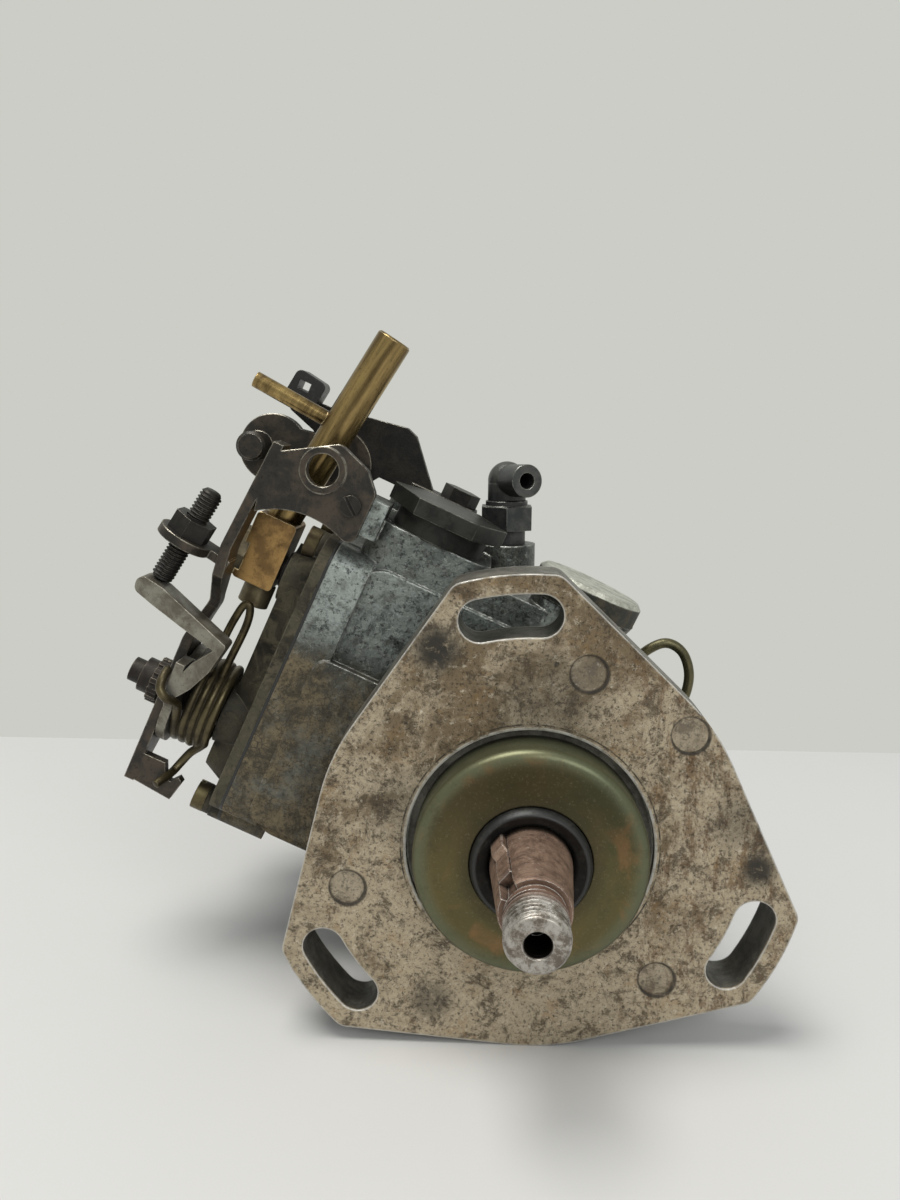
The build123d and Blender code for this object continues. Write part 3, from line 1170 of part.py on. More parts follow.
with BuildPart() as cable_clip:
    with BuildSketch(section(REAR_Y)):
        with Locations(Pos(-103.6, 73.4) * Rot(0, 0, -8)):
            RectangleRounded(9.5, 8.6, 1.8)
    extrude(amount=9)
    with BuildSketch(section(REAR_Y)):
        with Locations((-104.4, 74.2)):
            Rectangle(3.5, 2.5)
    extrude(amount=9, mode=Mode.SUBTRACT)
cable_clip.part.label = "cable_clip"
export_step(lean(cable_clip.part), "parts/cable_clip.step")
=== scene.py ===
import math

import bmesh
import bpy
from mathutils import Matrix, Vector


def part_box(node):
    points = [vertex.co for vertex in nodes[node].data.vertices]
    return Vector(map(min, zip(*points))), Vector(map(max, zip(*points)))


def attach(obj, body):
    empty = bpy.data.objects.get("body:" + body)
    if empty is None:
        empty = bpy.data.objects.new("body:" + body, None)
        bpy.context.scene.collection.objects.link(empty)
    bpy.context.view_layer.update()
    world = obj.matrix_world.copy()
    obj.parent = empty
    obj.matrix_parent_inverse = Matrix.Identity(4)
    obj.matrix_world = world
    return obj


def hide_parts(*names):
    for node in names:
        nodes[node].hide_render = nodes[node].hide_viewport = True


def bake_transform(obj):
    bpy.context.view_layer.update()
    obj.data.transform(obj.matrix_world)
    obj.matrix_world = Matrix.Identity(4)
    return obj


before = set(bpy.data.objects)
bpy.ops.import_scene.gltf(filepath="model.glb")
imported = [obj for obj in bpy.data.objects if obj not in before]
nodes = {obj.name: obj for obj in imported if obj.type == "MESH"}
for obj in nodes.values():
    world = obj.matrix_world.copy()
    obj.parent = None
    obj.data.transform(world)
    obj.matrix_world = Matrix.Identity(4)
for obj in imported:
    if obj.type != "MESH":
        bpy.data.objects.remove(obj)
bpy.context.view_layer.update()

scene = bpy.context.scene

# The pump leans by this much about Y; the lever gear is placed in its own upright frame.
LEAN = math.radians(24.6)

# Places on the flange, in millimetres about the drive shaft.
FLANGE_RING_R = 30.45  # outside of the bright turned ring round the recess
ROUND_MARKS = ((12.85, 43.65), (-44.2, -10.7), (31.4, -32.95), (36.8, 29.3))
# Dark oil spots as x, z, radius and strength.
OIL_SPOTS = (
    (-22.4, 49.0, 5.5, 0.97), (54.6, -4.0, 4.0, 0.95), (-23.8, -40.3, 5.0, 0.6),
    (-30.0, 10.0, 9.0, 0.35), (50.0, 8.0, 7.0, 0.4), (3.0, 36.0, 12.0, 0.45),
)

# Sockets of the Mix node as first value, second value and result: their names are not unique.
MIX_SOCKETS = {"FLOAT": (2, 3, 0), "VECTOR": (4, 5, 1), "RGBA": (6, 7, 2)}

# Floor, light and camera. Metres, degrees and, for the focal length, pixels of the photograph.
FLOOR_Z, FLOOR_EDGE_Y, FLOOR_HALF = -0.052, 0.232, 2
FLOOR_COLOUR = (0.70, 0.69, 0.665)
ROOM_COLOUR, ROOM_STRENGTH = (0.93, 0.97, 1.0, 1), 0.42
BACKDROP_COLOUR, BACKDROP_STRENGTH = (0.60, 0.61, 0.565, 1), 1.0
CAMERA_PLACE, CAMERA_TURN = (-0.0103, -0.2215, 0.100), (-2.35, 10.1, 0.3)
FOCAL_PX, FRAME_PX, SENSOR_MM = 980, 1200, 36


def upright(x, y, z):
    """A place in the pump's own upright frame, in millimetres, as a point of the row frame."""
    c, s = math.cos(LEAN), math.sin(LEAN)
    return Vector((x * c + z * s, y, -x * s + z * c)) / 1000


# ---- materials ---------------------------------------------------------------------------
class Look:
    """A node material with short names for the nodes that every surface here needs."""

    def __init__(self, name):
        self.mat = bpy.data.materials.new(name)
        self.mat.use_nodes = True
        self.tree = self.mat.node_tree
        self.tree.nodes.clear()
        self.out = self.add("ShaderNodeOutputMaterial")
        self.shader = self.add("ShaderNodeBsdfPrincipled")
        self.link(self.shader.outputs[0], self.out.inputs[0])
        self.place = self.add("ShaderNodeTexCoord").outputs["Object"]

    def add(self, kind, **settings):
        node = self.tree.nodes.new(kind)
        for key, value in settings.items():
            setattr(node, key, value)
        return node

    def link(self, a, b):
        self.tree.links.new(a, b)

    def put(self, socket, value):
        """Links a socket into an input, or sets the input to a number or colour."""
        if isinstance(value, bpy.types.NodeSocket):
            self.link(value, socket)
        elif isinstance(value, (tuple, list)) and len(value) == 3 and socket.type == "RGBA":
            socket.default_value = (*value, 1)
        else:
            socket.default_value = value

    def math(self, kind, a, b=0.0, clamp=False):
        node = self.add("ShaderNodeMath", operation=kind, use_clamp=clamp)
        self.put(node.inputs[0], a)
        self.put(node.inputs[1], b)
        return node.outputs[0]

    def times(self, a, b, clamp=False):
        return self.math("MULTIPLY", a, b, clamp)

    def measure(self, kind, a, b=None):
        """The number that a vector operation gives."""
        node = self.add("ShaderNodeVectorMath", operation=kind)
        self.put(node.inputs[0], a)
        if b is not None:
            self.put(node.inputs[1], b)
        return node.outputs["Value"]

    def stretch(self, scale, place=None):
        node = self.add("ShaderNodeMapping")
        self.put(node.inputs[0], place or self.place)
        node.inputs["Scale"].default_value = scale
        return node.outputs[0]

    def noise(self, size, detail=4.0, rough=0.55, place=None, warp=0.0):
        """Noise whose blobs are about size millimetres across."""
        node = self.add("ShaderNodeTexNoise")
        self.put(node.inputs["Vector"], place or self.place)
        self.put(node.inputs["Scale"], 1000.0 / size)
        self.put(node.inputs["Detail"], detail)
        self.put(node.inputs["Roughness"], rough)
        self.put(node.inputs["Distortion"], warp)
        return node.outputs["Fac"]

    def cracks(self, size):
        """Distance from the borders of cells about size millimetres across."""
        node = self.add("ShaderNodeTexVoronoi", feature="DISTANCE_TO_EDGE")
        self.put(node.inputs["Vector"], self.place)
        self.put(node.inputs["Scale"], 1000.0 / size)
        return node.outputs["Distance"]

    def step(self, value, low, high):
        """0 below low, 1 above high, smooth between; low above high turns it over."""
        node = self.add("ShaderNodeMapRange", interpolation_type="SMOOTHSTEP")
        flip = low > high
        self.put(node.inputs["Value"], value)
        node.inputs["From Min"].default_value = min(low, high)
        node.inputs["From Max"].default_value = max(low, high)
        node.inputs["To Min"].default_value = 1.0 if flip else 0.0
        node.inputs["To Max"].default_value = 0.0 if flip else 1.0
        return node.outputs[0]

    def pick(self, kind, fac, a, b):
        """a where fac is 0, b where it is 1."""
        first, second, result = MIX_SOCKETS[kind]
        node = self.add("ShaderNodeMix", data_type=kind)
        self.put(node.inputs[0], fac)
        self.put(node.inputs[first], a)
        self.put(node.inputs[second], b)
        return node.outputs[result]

    def mix(self, fac, a, b):
        return self.pick("RGBA", fac, a, b)

    def blend(self, fac, a, b):
        return self.pick("FLOAT", fac, a, b)

    def axis(self, name):
        node = self.add("ShaderNodeSeparateXYZ")
        self.link(self.place, node.inputs[0])
        return node.outputs[name]

    def soften(self, radius):
        """Keeps a bevelled normal in self.bevel, for edges and bump; radius in millimetres."""
        node = self.add("ShaderNodeBevel", samples=6)
        node.inputs["Radius"].default_value = radius / 1000
        self.bevel = node.outputs[0]

    def edges(self, radius):
        """1 on edges, from how far the bevelled normal turns away from the true one."""
        self.soften(radius)
        true = self.add("ShaderNodeNewGeometry").outputs["Normal"]
        return self.step(self.measure("DOT_PRODUCT", self.bevel, true), 0.995, 0.80)

    def crevices(self, reach):
        """1 in corners and under overhangs, where the looks paint shade; reach in millimetres."""
        node = self.add("ShaderNodeAmbientOcclusion", samples=6)
        node.inputs["Distance"].default_value = reach / 1000
        return self.step(node.outputs["AO"], 0.95, 0.35)

    def spot(self, x, z, inner, outer):
        """1 inside a round patch on the flange, fading out; place and radii in millimetres."""
        away = self.measure("DISTANCE", self.stretch((1, 0, 1)), (x / 1000, 0, z / 1000))
        return self.step(away, outer / 1000, inner / 1000)

    def along(self, way):
        """Distance in metres along a direction of the row frame."""
        return self.measure("DOT_PRODUCT", self.place, way)

    def shaft_distance(self):
        """Distance in metres from the drive shaft's axis."""
        return self.measure("LENGTH", self.stretch((1, 0, 1)))

    def band(self, value, low, high, soft):
        """1 while value, in metres, lies between low and high, in millimetres."""
        rise = self.step(value, (low - soft) / 1000, (low + soft) / 1000)
        fall = self.step(value, (high + soft) / 1000, (high - soft) / 1000)
        return self.times(rise, fall)

    def bump(self, height, strength, distance):
        """A normal roughened over the bevelled one; distance in millimetres."""
        node = self.add("ShaderNodeBump")
        self.put(node.inputs["Strength"], strength)
        self.put(node.inputs["Distance"], distance / 1000)
        self.put(node.inputs["Height"], height)
        self.link(self.bevel, node.inputs["Normal"])
        return node.outputs[0]

    def finish(self, colour, rough, metal, normal=None):
        """Joins the surface to the shader and gives the material."""
        self.put(self.shader.inputs["Base Color"], colour)
        self.put(self.shader.inputs["Roughness"], rough)
        self.put(self.shader.inputs["Metallic"], metal)
        if normal:
            self.link(normal, self.shader.inputs["Normal"])
        return self.mat


def worn(name, base, second, grime_and_shade, edge, rough=0.45, metal=0.8, patch=9.0, grain=0.8, pits=0.12,
         edge_width=0.5, edge_amount=0.9, dirt_and_shade=0.8, speck=0.25):
    """A used metal surface: patches of two tones, painted shade in corners, edges worn to the metal that
    double as painted highlight, and fine pits.
    """
    k = Look(name)
    patches = k.noise(patch, 6, 0.62, warp=0.4)
    fine = k.noise(grain, 3, 0.7)
    colour = k.mix(k.step(patches, 0.36, 0.64), base, second)
    specks = k.times(k.step(k.noise(patch * 0.16, 5, 0.8), 0.54, 0.66), speck)
    colour = k.mix(specks, colour, grime_and_shade)
    # painted shade: corners and overhangs are darkened towards the darkest colour, in patches
    corner_shade = k.times(k.crevices(5), k.blend(k.noise(3.5, 4), 0.55, 1.25), True)
    colour = k.mix(k.times(corner_shade, dirt_and_shade), colour, grime_and_shade)
    # edges worn to the metal in the light edge colour, which also stands as painted highlight
    bare_and_highlight = k.times(k.edges(edge_width), k.step(k.noise(2.6, 5, 0.7), 0.34, 0.56))
    bare_and_highlight = k.times(bare_and_highlight, edge_amount)
    colour = k.mix(bare_and_highlight, colour, edge)
    roughness = k.math("ADD", k.blend(patches, rough - 0.12, rough + 0.14), k.times(corner_shade, 0.2), True)
    roughness = k.blend(bare_and_highlight, roughness, max(rough - 0.15, 0.2))
    metallic = k.blend(bare_and_highlight, k.blend(corner_shade, metal, metal * 0.3), 1.0)
    height = k.math("ADD", fine, k.times(patches, 0.6))
    return k.finish(colour, roughness, metallic, k.bump(height, 0.55, pits))


def cast(name, base, second, grime_and_shade, edge, rough=0.6, dirt_colour=(0.11, 0.09, 0.055),
         dirt_and_shade=0.6, grit=0.5, shade_reach=9, shade_amount=0.85):
    """Grimy sand-cast aluminium with a caked beige crust, painted shade in corners, and lighter worn edges
    that double as painted highlight.
    """
    k = Look(name)
    broad = k.noise(22, 5, 0.6, warp=0.6)
    sand = k.noise(1.1, 4, 0.75)
    colour = k.mix(k.step(broad, 0.38, 0.62), base, second)
    caked = k.times(k.step(k.noise(7, 7, 0.72, warp=0.8), 0.47, 0.6), dirt_and_shade)
    colour = k.mix(caked, colour, dirt_colour)
    colour = k.mix(k.times(k.step(sand, 0.52, 0.72), 0.5), colour, grime_and_shade)
    # painted shade: corners and overhangs are darkened towards the darkest colour, in patches
    corner_shade = k.times(k.crevices(shade_reach), k.blend(k.noise(5, 4), 0.5, 1.3), True)
    colour = k.mix(k.times(corner_shade, shade_amount), colour, grime_and_shade)
    # edges worn to the metal in the light edge colour, which also stands as painted highlight
    bare_and_highlight = k.times(k.edges(0.8), k.step(k.noise(3.5, 5, 0.7), 0.38, 0.58))
    colour = k.mix(bare_and_highlight, colour, edge)
    roughness = k.blend(caked, k.blend(broad, rough - 0.15, rough + 0.1), 0.85)
    height = k.math("ADD", k.times(sand, grit), k.times(caked, 0.5))
    metallic = k.blend(bare_and_highlight, k.blend(caked, 0.55, 0.05), 0.9)
    return k, colour, roughness, metallic, k.bump(height, 0.8, 0.35)


def housing_look():
    """The cast body, and the machined flange in front of it with its oil stains."""
    k, body, body_rough, body_metal, body_normal = cast(
        "cast_housing", (0.044, 0.049, 0.045), (0.165, 0.178, 0.160), (0.016, 0.015, 0.013),
        (0.66, 0.66, 0.62), dirt_and_shade=0.22, grit=1.2, shade_reach=5, shade_amount=0.6,
    )
    y = k.axis("Y")
    glint = k.times(k.step(k.noise(2.6, 8, 0.85, warp=0.3), 0.53, 0.62), 0.65)
    body = k.mix(glint, body, (0.34, 0.365, 0.335))
    # upper half of the box and the neck: ragged light grey patches of painted highlight, then black specks
    height_up = k.along((math.sin(LEAN), 0, math.cos(LEAN)))
    neck_highlight = k.times(k.step(y, 0.037, 0.028), k.step(height_up, 0.012, 0.024))
    neck_highlight = k.times(neck_highlight, k.step(k.noise(4.5, 8, 0.8), 0.36, 0.58))
    body = k.mix(k.times(neck_highlight, 0.85), body, (0.44, 0.485, 0.455))
    black = k.times(k.step(k.noise(1.5, 6, 0.85), 0.53, 0.60), 0.8)
    body = k.mix(black, body, (0.010, 0.010, 0.008))
    # lower half of the box: beige dirt, cracked and thick
    ragged_height = k.math("ADD", height_up, k.times(k.noise(9, 6, 0.75), 0.012))
    low_zone = k.step(ragged_height, 0.023, 0.013)
    crack = k.step(k.cracks(1.7), 0.0, 0.09)
    crust_tone = k.step(k.noise(5, 8, 0.8, warp=0.4), 0.38, 0.60)
    crust = k.mix(crust_tone, (0.205, 0.160, 0.092), (0.064, 0.052, 0.032))
    crust = k.mix(k.times(k.step(k.noise(1.1, 6, 0.85), 0.50, 0.62), 0.75), crust, (0.022, 0.018, 0.012))
    crust = k.mix(k.blend(k.step(k.noise(8, 4), 0.46, 0.56), 1.0, crack), (0.050, 0.041, 0.027), crust)
    crust_amount = k.times(low_zone, k.blend(k.step(k.noise(12, 7, 0.75), 0.36, 0.54), 0.50, 0.97))
    body = k.mix(crust_amount, body, crust)
    body_rough = k.blend(crust_amount, k.times(body_rough, 0.5), 0.82)
    body_metal = k.times(body_metal, k.blend(crust_amount, 1.0, 0.25))
    flange = k.step(y, 0.0134, 0.0130)
    face = k.step(y, 0.0009, 0.0004)
    # face: pale machined aluminium under brown oil stains, with dark and light specks
    high = k.times(k.axis("Z"), 1.3)
    pale = k.mix(k.noise(3.5, 8, 0.8), (0.66, 0.56, 0.405), (0.212, 0.157, 0.090))
    cloud = k.math("ADD", k.noise(20, 10, 0.74, warp=0.5), high)
    fresh = k.times(k.spot(37, 6, 5, 17), k.step(k.noise(6, 6, 0.7), 0.34, 0.5))
    cloud = k.math("SUBTRACT", cloud, k.times(fresh, 0.12))
    colour = k.mix(k.times(k.step(cloud, 0.48, 0.62), 0.78), pale, (0.105, 0.064, 0.022))
    film = k.step(k.noise(6.5, 10, 0.84, warp=0.35), 0.505, 0.585)
    colour = k.mix(k.times(film, 0.84), colour, (0.066, 0.042, 0.019))
    runs = k.noise(4.5, 9, 0.82, place=k.stretch((1.0, 1.0, 0.38)))
    runs = k.times(k.step(runs, 0.50, 0.585), k.step(k.axis("X"), 0.012, 0.032))
    colour = k.mix(k.times(runs, 0.72), colour, (0.120, 0.064, 0.024))
    tan = k.times(k.step(k.noise(9, 9, 0.82), 0.53, 0.62), 0.40)
    colour = k.mix(tan, colour, (0.285, 0.165, 0.062))
    bright = k.times(k.step(k.noise(2.2, 9, 0.88), 0.545, 0.62), 0.66)
    colour = k.mix(bright, colour, (0.74, 0.665, 0.52))
    pepper = k.step(k.noise(1.0, 6, 0.88), 0.53, 0.575)
    colour = k.mix(k.times(pepper, 0.85), colour, (0.034, 0.023, 0.012))
    drop = k.times(k.step(k.noise(3.6, 3, 0.6), 0.69, 0.735), 0.9)
    colour = k.mix(drop, colour, (0.030, 0.024, 0.016))
    for px, pz, reach, amount in OIL_SPOTS:
        ragged = k.times(k.spot(px, pz, reach * 0.4, reach * 1.5), k.step(k.noise(3, 7, 0.8), 0.32, 0.48))
        colour = k.mix(k.times(ragged, amount), colour, (0.022, 0.019, 0.014))
    # round marks: a scraped disc with a dark rim that is widest on one side
    near_mark = None
    for px, pz in ROUND_MARKS:
        disc = k.spot(px, pz, 3.9, 4.25)
        halo = k.math("SUBTRACT", k.spot(px + 0.25, pz - 0.3, 4.5, 5.1), k.spot(px, pz, 4.0, 4.3), True)
        colour = k.mix(k.times(disc, 0.35), colour, (0.25, 0.215, 0.165))
        halo = k.times(halo, k.blend(k.noise(2.5, 4), 0.55, 1.2), True)
        colour = k.mix(halo, colour, (0.026, 0.021, 0.015))
        wide = k.spot(px, pz, 5.0, 5.6)
        near_mark = wide if near_mark is None else k.math("MAXIMUM", near_mark, wide)
    # bright turned ring round the recess, with a dark line outside it
    r = k.shaft_distance()
    patchy = k.step(k.noise(5, 6, 0.75), 0.38, 0.56)
    colour = k.mix(k.times(k.band(r, 30.9, 31.25, 0.12), patchy), colour, (0.035, 0.028, 0.018))
    colour = k.mix(k.times(k.band(r, 29.0, FLANGE_RING_R, 0.15), patchy), colour, (0.50, 0.475, 0.42))
    # side of the flange: darker, oily, with worn edges that double as painted highlight
    rim = k.mix(k.step(k.noise(9, 8, 0.8), 0.36, 0.66), (0.062, 0.057, 0.045), (0.185, 0.175, 0.142))
    colour = k.mix(face, rim, colour)
    # edges worn to the metal in near white, also a painted highlight
    bare_and_highlight = k.times(k.edges(0.9), k.step(k.noise(4, 5, 0.7), 0.26, 0.48))
    bare_and_highlight = k.times(bare_and_highlight, k.math("SUBTRACT", 1.0, near_mark))
    colour = k.mix(bare_and_highlight, colour, (0.80, 0.79, 0.74))
    colour = k.mix(flange, body, colour)
    rough = k.blend(film, 0.42, 0.62)
    rough = k.blend(bare_and_highlight, rough, 0.3)
    rough = k.blend(flange, body_rough, rough)
    metal = k.blend(flange, body_metal, k.blend(film, 0.38, 0.10))
    height = k.math("ADD", k.noise(0.7, 5, 0.85), k.times(film, -0.5))
    face_normal = k.bump(height, 0.75, 0.12)
    return k.finish(colour, rough, metal, k.pick("VECTOR", flange, body_normal, face_normal))


def cover_look():
    k, colour, rough, metal, normal = cast(
        "cast_cover", (0.026, 0.023, 0.016), (0.092, 0.082, 0.055), (0.012, 0.010, 0.007),
        (0.22, 0.205, 0.16), dirt_and_shade=0.75, dirt_colour=(0.12, 0.10, 0.06), grit=0.6,
    )
    return k.finish(colour, rough, metal, normal)


def cap_look():
    """The round cap: a bright turned top and rim over a dark side."""
    k, body, rough, metal, normal = cast(
        "top_cap_metal", (0.035, 0.036, 0.03), (0.07, 0.07, 0.06), (0.012, 0.012, 0.01), (0.78, 0.77, 0.70)
    )
    facing = k.add("ShaderNodeNewGeometry").outputs["Normal"]
    top = k.step(k.measure("DOT_PRODUCT", facing, tuple(upright(0, 0, 1000))), 0.35, 0.6)
    pale = k.mix(k.step(k.noise(4, 6, 0.75), 0.4, 0.6), (0.58, 0.58, 0.51), (0.32, 0.32, 0.27))
    pale = k.mix(k.times(k.step(k.noise(1.2, 6, 0.8), 0.58, 0.68), 0.6), pale, (0.06, 0.055, 0.04))
    colour = k.mix(top, body, pale)
    return k.finish(colour, k.blend(top, rough, 0.4), k.blend(top, metal, 0.75), normal)


def dust_cover_look():
    """Yellow passivated sheet: satin olive, darker round the seal, with green shoulder and tan arcs."""
    k = Look("passivated_sheet")
    r = k.shaft_distance()
    drift = k.noise(24, 4, 0.55, warp=0.6)
    colour = k.mix(k.step(drift, 0.35, 0.65), (0.136, 0.102, 0.040), (0.086, 0.082, 0.034))
    shoulder = k.step(r, 0.0225, 0.0262)
    colour = k.mix(k.times(shoulder, 0.7), colour, (0.125, 0.142, 0.088))
    blush = k.times(k.step(k.noise(13, 4, 0.6, warp=1.0), 0.50, 0.66), k.band(r, 19.5, 25.5, 2.0))
    colour = k.mix(k.times(blush, 0.8), colour, (0.235, 0.130, 0.055))
    smudge = k.step(k.noise(5, 8, 0.8), 0.50, 0.68)
    colour = k.mix(k.times(smudge, 0.35), colour, (0.055, 0.048, 0.027))
    shade = k.times(k.step(k.axis("Z"), -0.006, 0.018), k.step(r, 0.0265, 0.0235))
    colour = k.mix(k.times(shade, 0.62), colour, (0.026, 0.023, 0.010))
    inner = k.step(r, 0.0195, 0.0145)
    colour = k.mix(k.times(inner, 0.5), colour, (0.040, 0.033, 0.016))
    # painted shade in corners and under overhangs
    colour = k.mix(k.times(k.crevices(4), 0.8), colour, (0.018, 0.015, 0.008))
    grit = k.step(k.noise(0.7, 4, 0.8), 0.56, 0.66)
    colour = k.mix(k.times(grit, 0.25), colour, (0.24, 0.21, 0.13))
    k.soften(0.6)
    rough = k.blend(smudge, 0.36, 0.52)
    height = k.math("ADD", k.noise(1.2, 5, 0.7), k.times(grit, 0.4))
    return k.finish(colour, rough, 0.72, k.bump(height, 0.35, 0.05))


def rubber_look(name, tone=0.010):
    k = Look(name)
    dust = k.step(k.noise(2.5, 6, 0.8), 0.5, 0.68)
    colour = k.mix(k.times(dust, 0.5), (tone, tone, tone * 0.95), (0.045, 0.04, 0.032))
    k.soften(0.4)
    return k.finish(colour, k.blend(dust, 0.42, 0.7), 0.0, k.bump(k.noise(0.8, 4), 0.4, 0.06))


def shaft_look():
    """Rusty mauve-tan taper, rust round the first threads, dull uncoated steel towards the end; painted
    shade in the roots and the centre bore, worn crests lit as painted highlight.
    """
    k = Look("shaft_steel")
    y = k.axis("Y")
    ragged = k.math("ADD", y, k.times(k.noise(4, 6, 0.75), 0.004))
    bare_end = k.step(ragged, -0.0325, -0.0365)
    mottle = k.step(k.noise(5, 8, 0.78, warp=0.5), 0.38, 0.62)
    taper = k.mix(mottle, (0.31, 0.205, 0.145), (0.140, 0.086, 0.062))
    taper = k.mix(k.times(k.step(k.noise(2, 7, 0.82), 0.53, 0.65), 0.7), taper, (0.085, 0.052, 0.038))
    taper = k.mix(k.times(k.step(k.noise(1.3, 6, 0.8), 0.57, 0.67), 0.6), taper, (0.52, 0.44, 0.37))
    lines = k.step(k.noise(0.5, 3, 0.6, place=k.stretch((0.05, 1, 0.05))), 0.52, 0.66)
    taper = k.mix(k.times(lines, 0.35), taper, (0.10, 0.07, 0.055))
    rust = k.step(y, -0.0312, -0.0322)
    taper = k.mix(k.times(rust, 0.75), taper, (0.16, 0.085, 0.055))
    steel = k.mix(k.step(k.noise(3, 7, 0.78), 0.40, 0.60), (0.44, 0.41, 0.37), (0.15, 0.125, 0.10))
    steel = k.mix(k.times(k.step(k.noise(1.2, 6, 0.8), 0.55, 0.64), 0.6), steel, (0.08, 0.065, 0.05))
    colour = k.mix(bare_end, taper, steel)
    # painted shade in thread roots and corners
    colour = k.mix(k.times(k.crevices(1.8), 0.95), colour, (0.016, 0.012, 0.008))
    # black painted shade inside the centre bore
    hole_shade = k.step(k.shaft_distance(), 0.00292, 0.00276)
    colour = k.mix(hole_shade, colour, (0.009, 0.007, 0.005))
    # front edges and thread crests worn to the metal, lightened as painted highlight
    bare_and_highlight = k.times(k.edges(0.35), k.step(k.noise(2, 4), 0.38, 0.5))
    bare_and_highlight = k.times(bare_and_highlight, k.step(y, -0.005, -0.012))
    colour = k.mix(k.times(bare_and_highlight, 0.92), colour, (0.82, 0.80, 0.75))
    height = k.math("ADD", lines, k.times(k.noise(1.1, 6, 0.8), 1.2))
    rough = k.blend(bare_and_highlight, k.blend(bare_end, 0.50, 0.34), 0.24)
    return k.finish(colour, rough, k.blend(bare_end, 0.45, 0.72), k.bump(height, 0.45, 0.08))


def brass_look(name, base, second, rough=0.28, streak=None):
    """Handled brass; streak is a lean in degrees and how much the stains are drawn out along it."""
    k = Look(name)
    place = k.place
    if streak:
        angle, shrink = streak
        turned = k.add("ShaderNodeMapping")
        k.link(k.place, turned.inputs[0])
        turned.inputs["Rotation"].default_value = (0, -math.radians(angle), 0)
        place = k.stretch((1, 1, shrink), turned.outputs[0])
    patches = k.noise(7, 7, 0.7, place=place, warp=0.3)
    colour = k.mix(k.step(patches, 0.40, 0.62), base, second)
    brown = k.times(k.step(k.noise(3, 8, 0.8, place=place), 0.53, 0.66), 0.7)
    colour = k.mix(brown, colour, (0.10, 0.062, 0.028))
    fleck = k.times(k.step(k.noise(1.0, 6, 0.85), 0.56, 0.64), 0.5)
    colour = k.mix(fleck, colour, (0.045, 0.029, 0.014))
    # painted shade in corners and under overhangs
    colour = k.mix(k.times(k.crevices(5), 0.85), colour, (0.025, 0.017, 0.009))
    # edges worn to light brass, also a painted highlight
    bare_and_highlight = k.times(k.edges(0.5), k.step(k.noise(2, 4), 0.3, 0.5))
    colour = k.mix(bare_and_highlight, colour, (0.80, 0.64, 0.37))
    roughness = k.blend(brown, rough, rough + 0.25)
    fine = k.noise(0.6, 4, 0.7, place=place)
    return k.finish(colour, roughness, 0.95, k.bump(fine, 0.3, 0.03))


def plastic_look():
    k = Look("black_plastic")
    dust = k.step(k.noise(2, 6, 0.8), 0.52, 0.7)
    colour = k.mix(k.times(dust, 0.5), (0.012, 0.012, 0.012), (0.06, 0.056, 0.048))
    k.soften(0.4)
    return k.finish(colour, k.blend(dust, 0.38, 0.6), 0.0, k.bump(k.noise(0.6, 3), 0.3, 0.04))


HOUSING = housing_look()
COVER = cover_look()
CAP = cap_look()
PASSIVATED = dust_cover_look()
RUBBER = rubber_look("seal_rubber")
GASKET = rubber_look("gasket_fibre", 0.02)
SHAFT = shaft_look()
ROD_STREAK = (32.9, 0.10)  # the rod's lean in degrees, and how far its stains are drawn out
BRASS_ROD = brass_look("polished_brass", (0.36, 0.255, 0.105), (0.125, 0.085, 0.036), 0.24, ROD_STREAK)
BRASS_HUB = brass_look("brown_brass", (0.40, 0.245, 0.095), (0.19, 0.115, 0.05), 0.32)
PLASTIC = plastic_look()
BLACK_STEEL = worn("black_sheet_steel", (0.036, 0.034, 0.031), (0.082, 0.066, 0.051), (0.010, 0.009, 0.007),
                   (0.52, 0.48, 0.40), rough=0.40, metal=0.75, patch=6, edge_width=0.6, speck=0.55)
BROWN_STEEL = worn("brown_sheet_steel", (0.27, 0.255, 0.21), (0.135, 0.118, 0.09), (0.020, 0.016, 0.011),
                   (0.56, 0.52, 0.44), rough=0.42, metal=0.7, patch=6, speck=0.5)
REAR_STEEL = worn("dark_sheet_steel", (0.016, 0.016, 0.015), (0.034, 0.029, 0.024), (0.007, 0.006, 0.005),
                  (0.42, 0.39, 0.33), rough=0.45, metal=0.7, patch=7, edge_width=0.5, speck=0.5)
ELBOW_STEEL = worn("blued_fitting_steel", (0.052, 0.056, 0.056), (0.095, 0.096, 0.090),
                   (0.012, 0.011, 0.010), (0.50, 0.50, 0.46), rough=0.36, metal=0.8, patch=5, speck=0.4)
SCREW_STEEL = worn("black_screw_steel", (0.024, 0.023, 0.021), (0.04, 0.036, 0.031), (0.009, 0.008, 0.007),
                   (0.20, 0.18, 0.15), rough=0.4, metal=0.8, patch=4, edge_width=0.25)
KNOB_STEEL = worn("rusty_nut_steel", (0.045, 0.038, 0.031), (0.026, 0.022, 0.020), (0.014, 0.011, 0.009),
                  (0.34, 0.29, 0.23), rough=0.45, metal=0.75, patch=4)
YELLOW_SCREW = worn("yellowed_screw_steel", (0.13, 0.105, 0.05), (0.08, 0.06, 0.035), (0.02, 0.015, 0.009),
                    (0.36, 0.31, 0.2), rough=0.42, metal=0.8, patch=4)
BEIGE_NUT = worn("olive_nut_steel", (0.20, 0.165, 0.095), (0.12, 0.095, 0.055), (0.03, 0.022, 0.012),
                 (0.42, 0.37, 0.26), rough=0.42, metal=0.7, patch=5)
SPRING = worn("bronzed_spring_wire", (0.12, 0.098, 0.052), (0.065, 0.052, 0.03), (0.018, 0.014, 0.008),
              (0.36, 0.31, 0.2), rough=0.36, metal=0.85, patch=5, edge_amount=0.2)
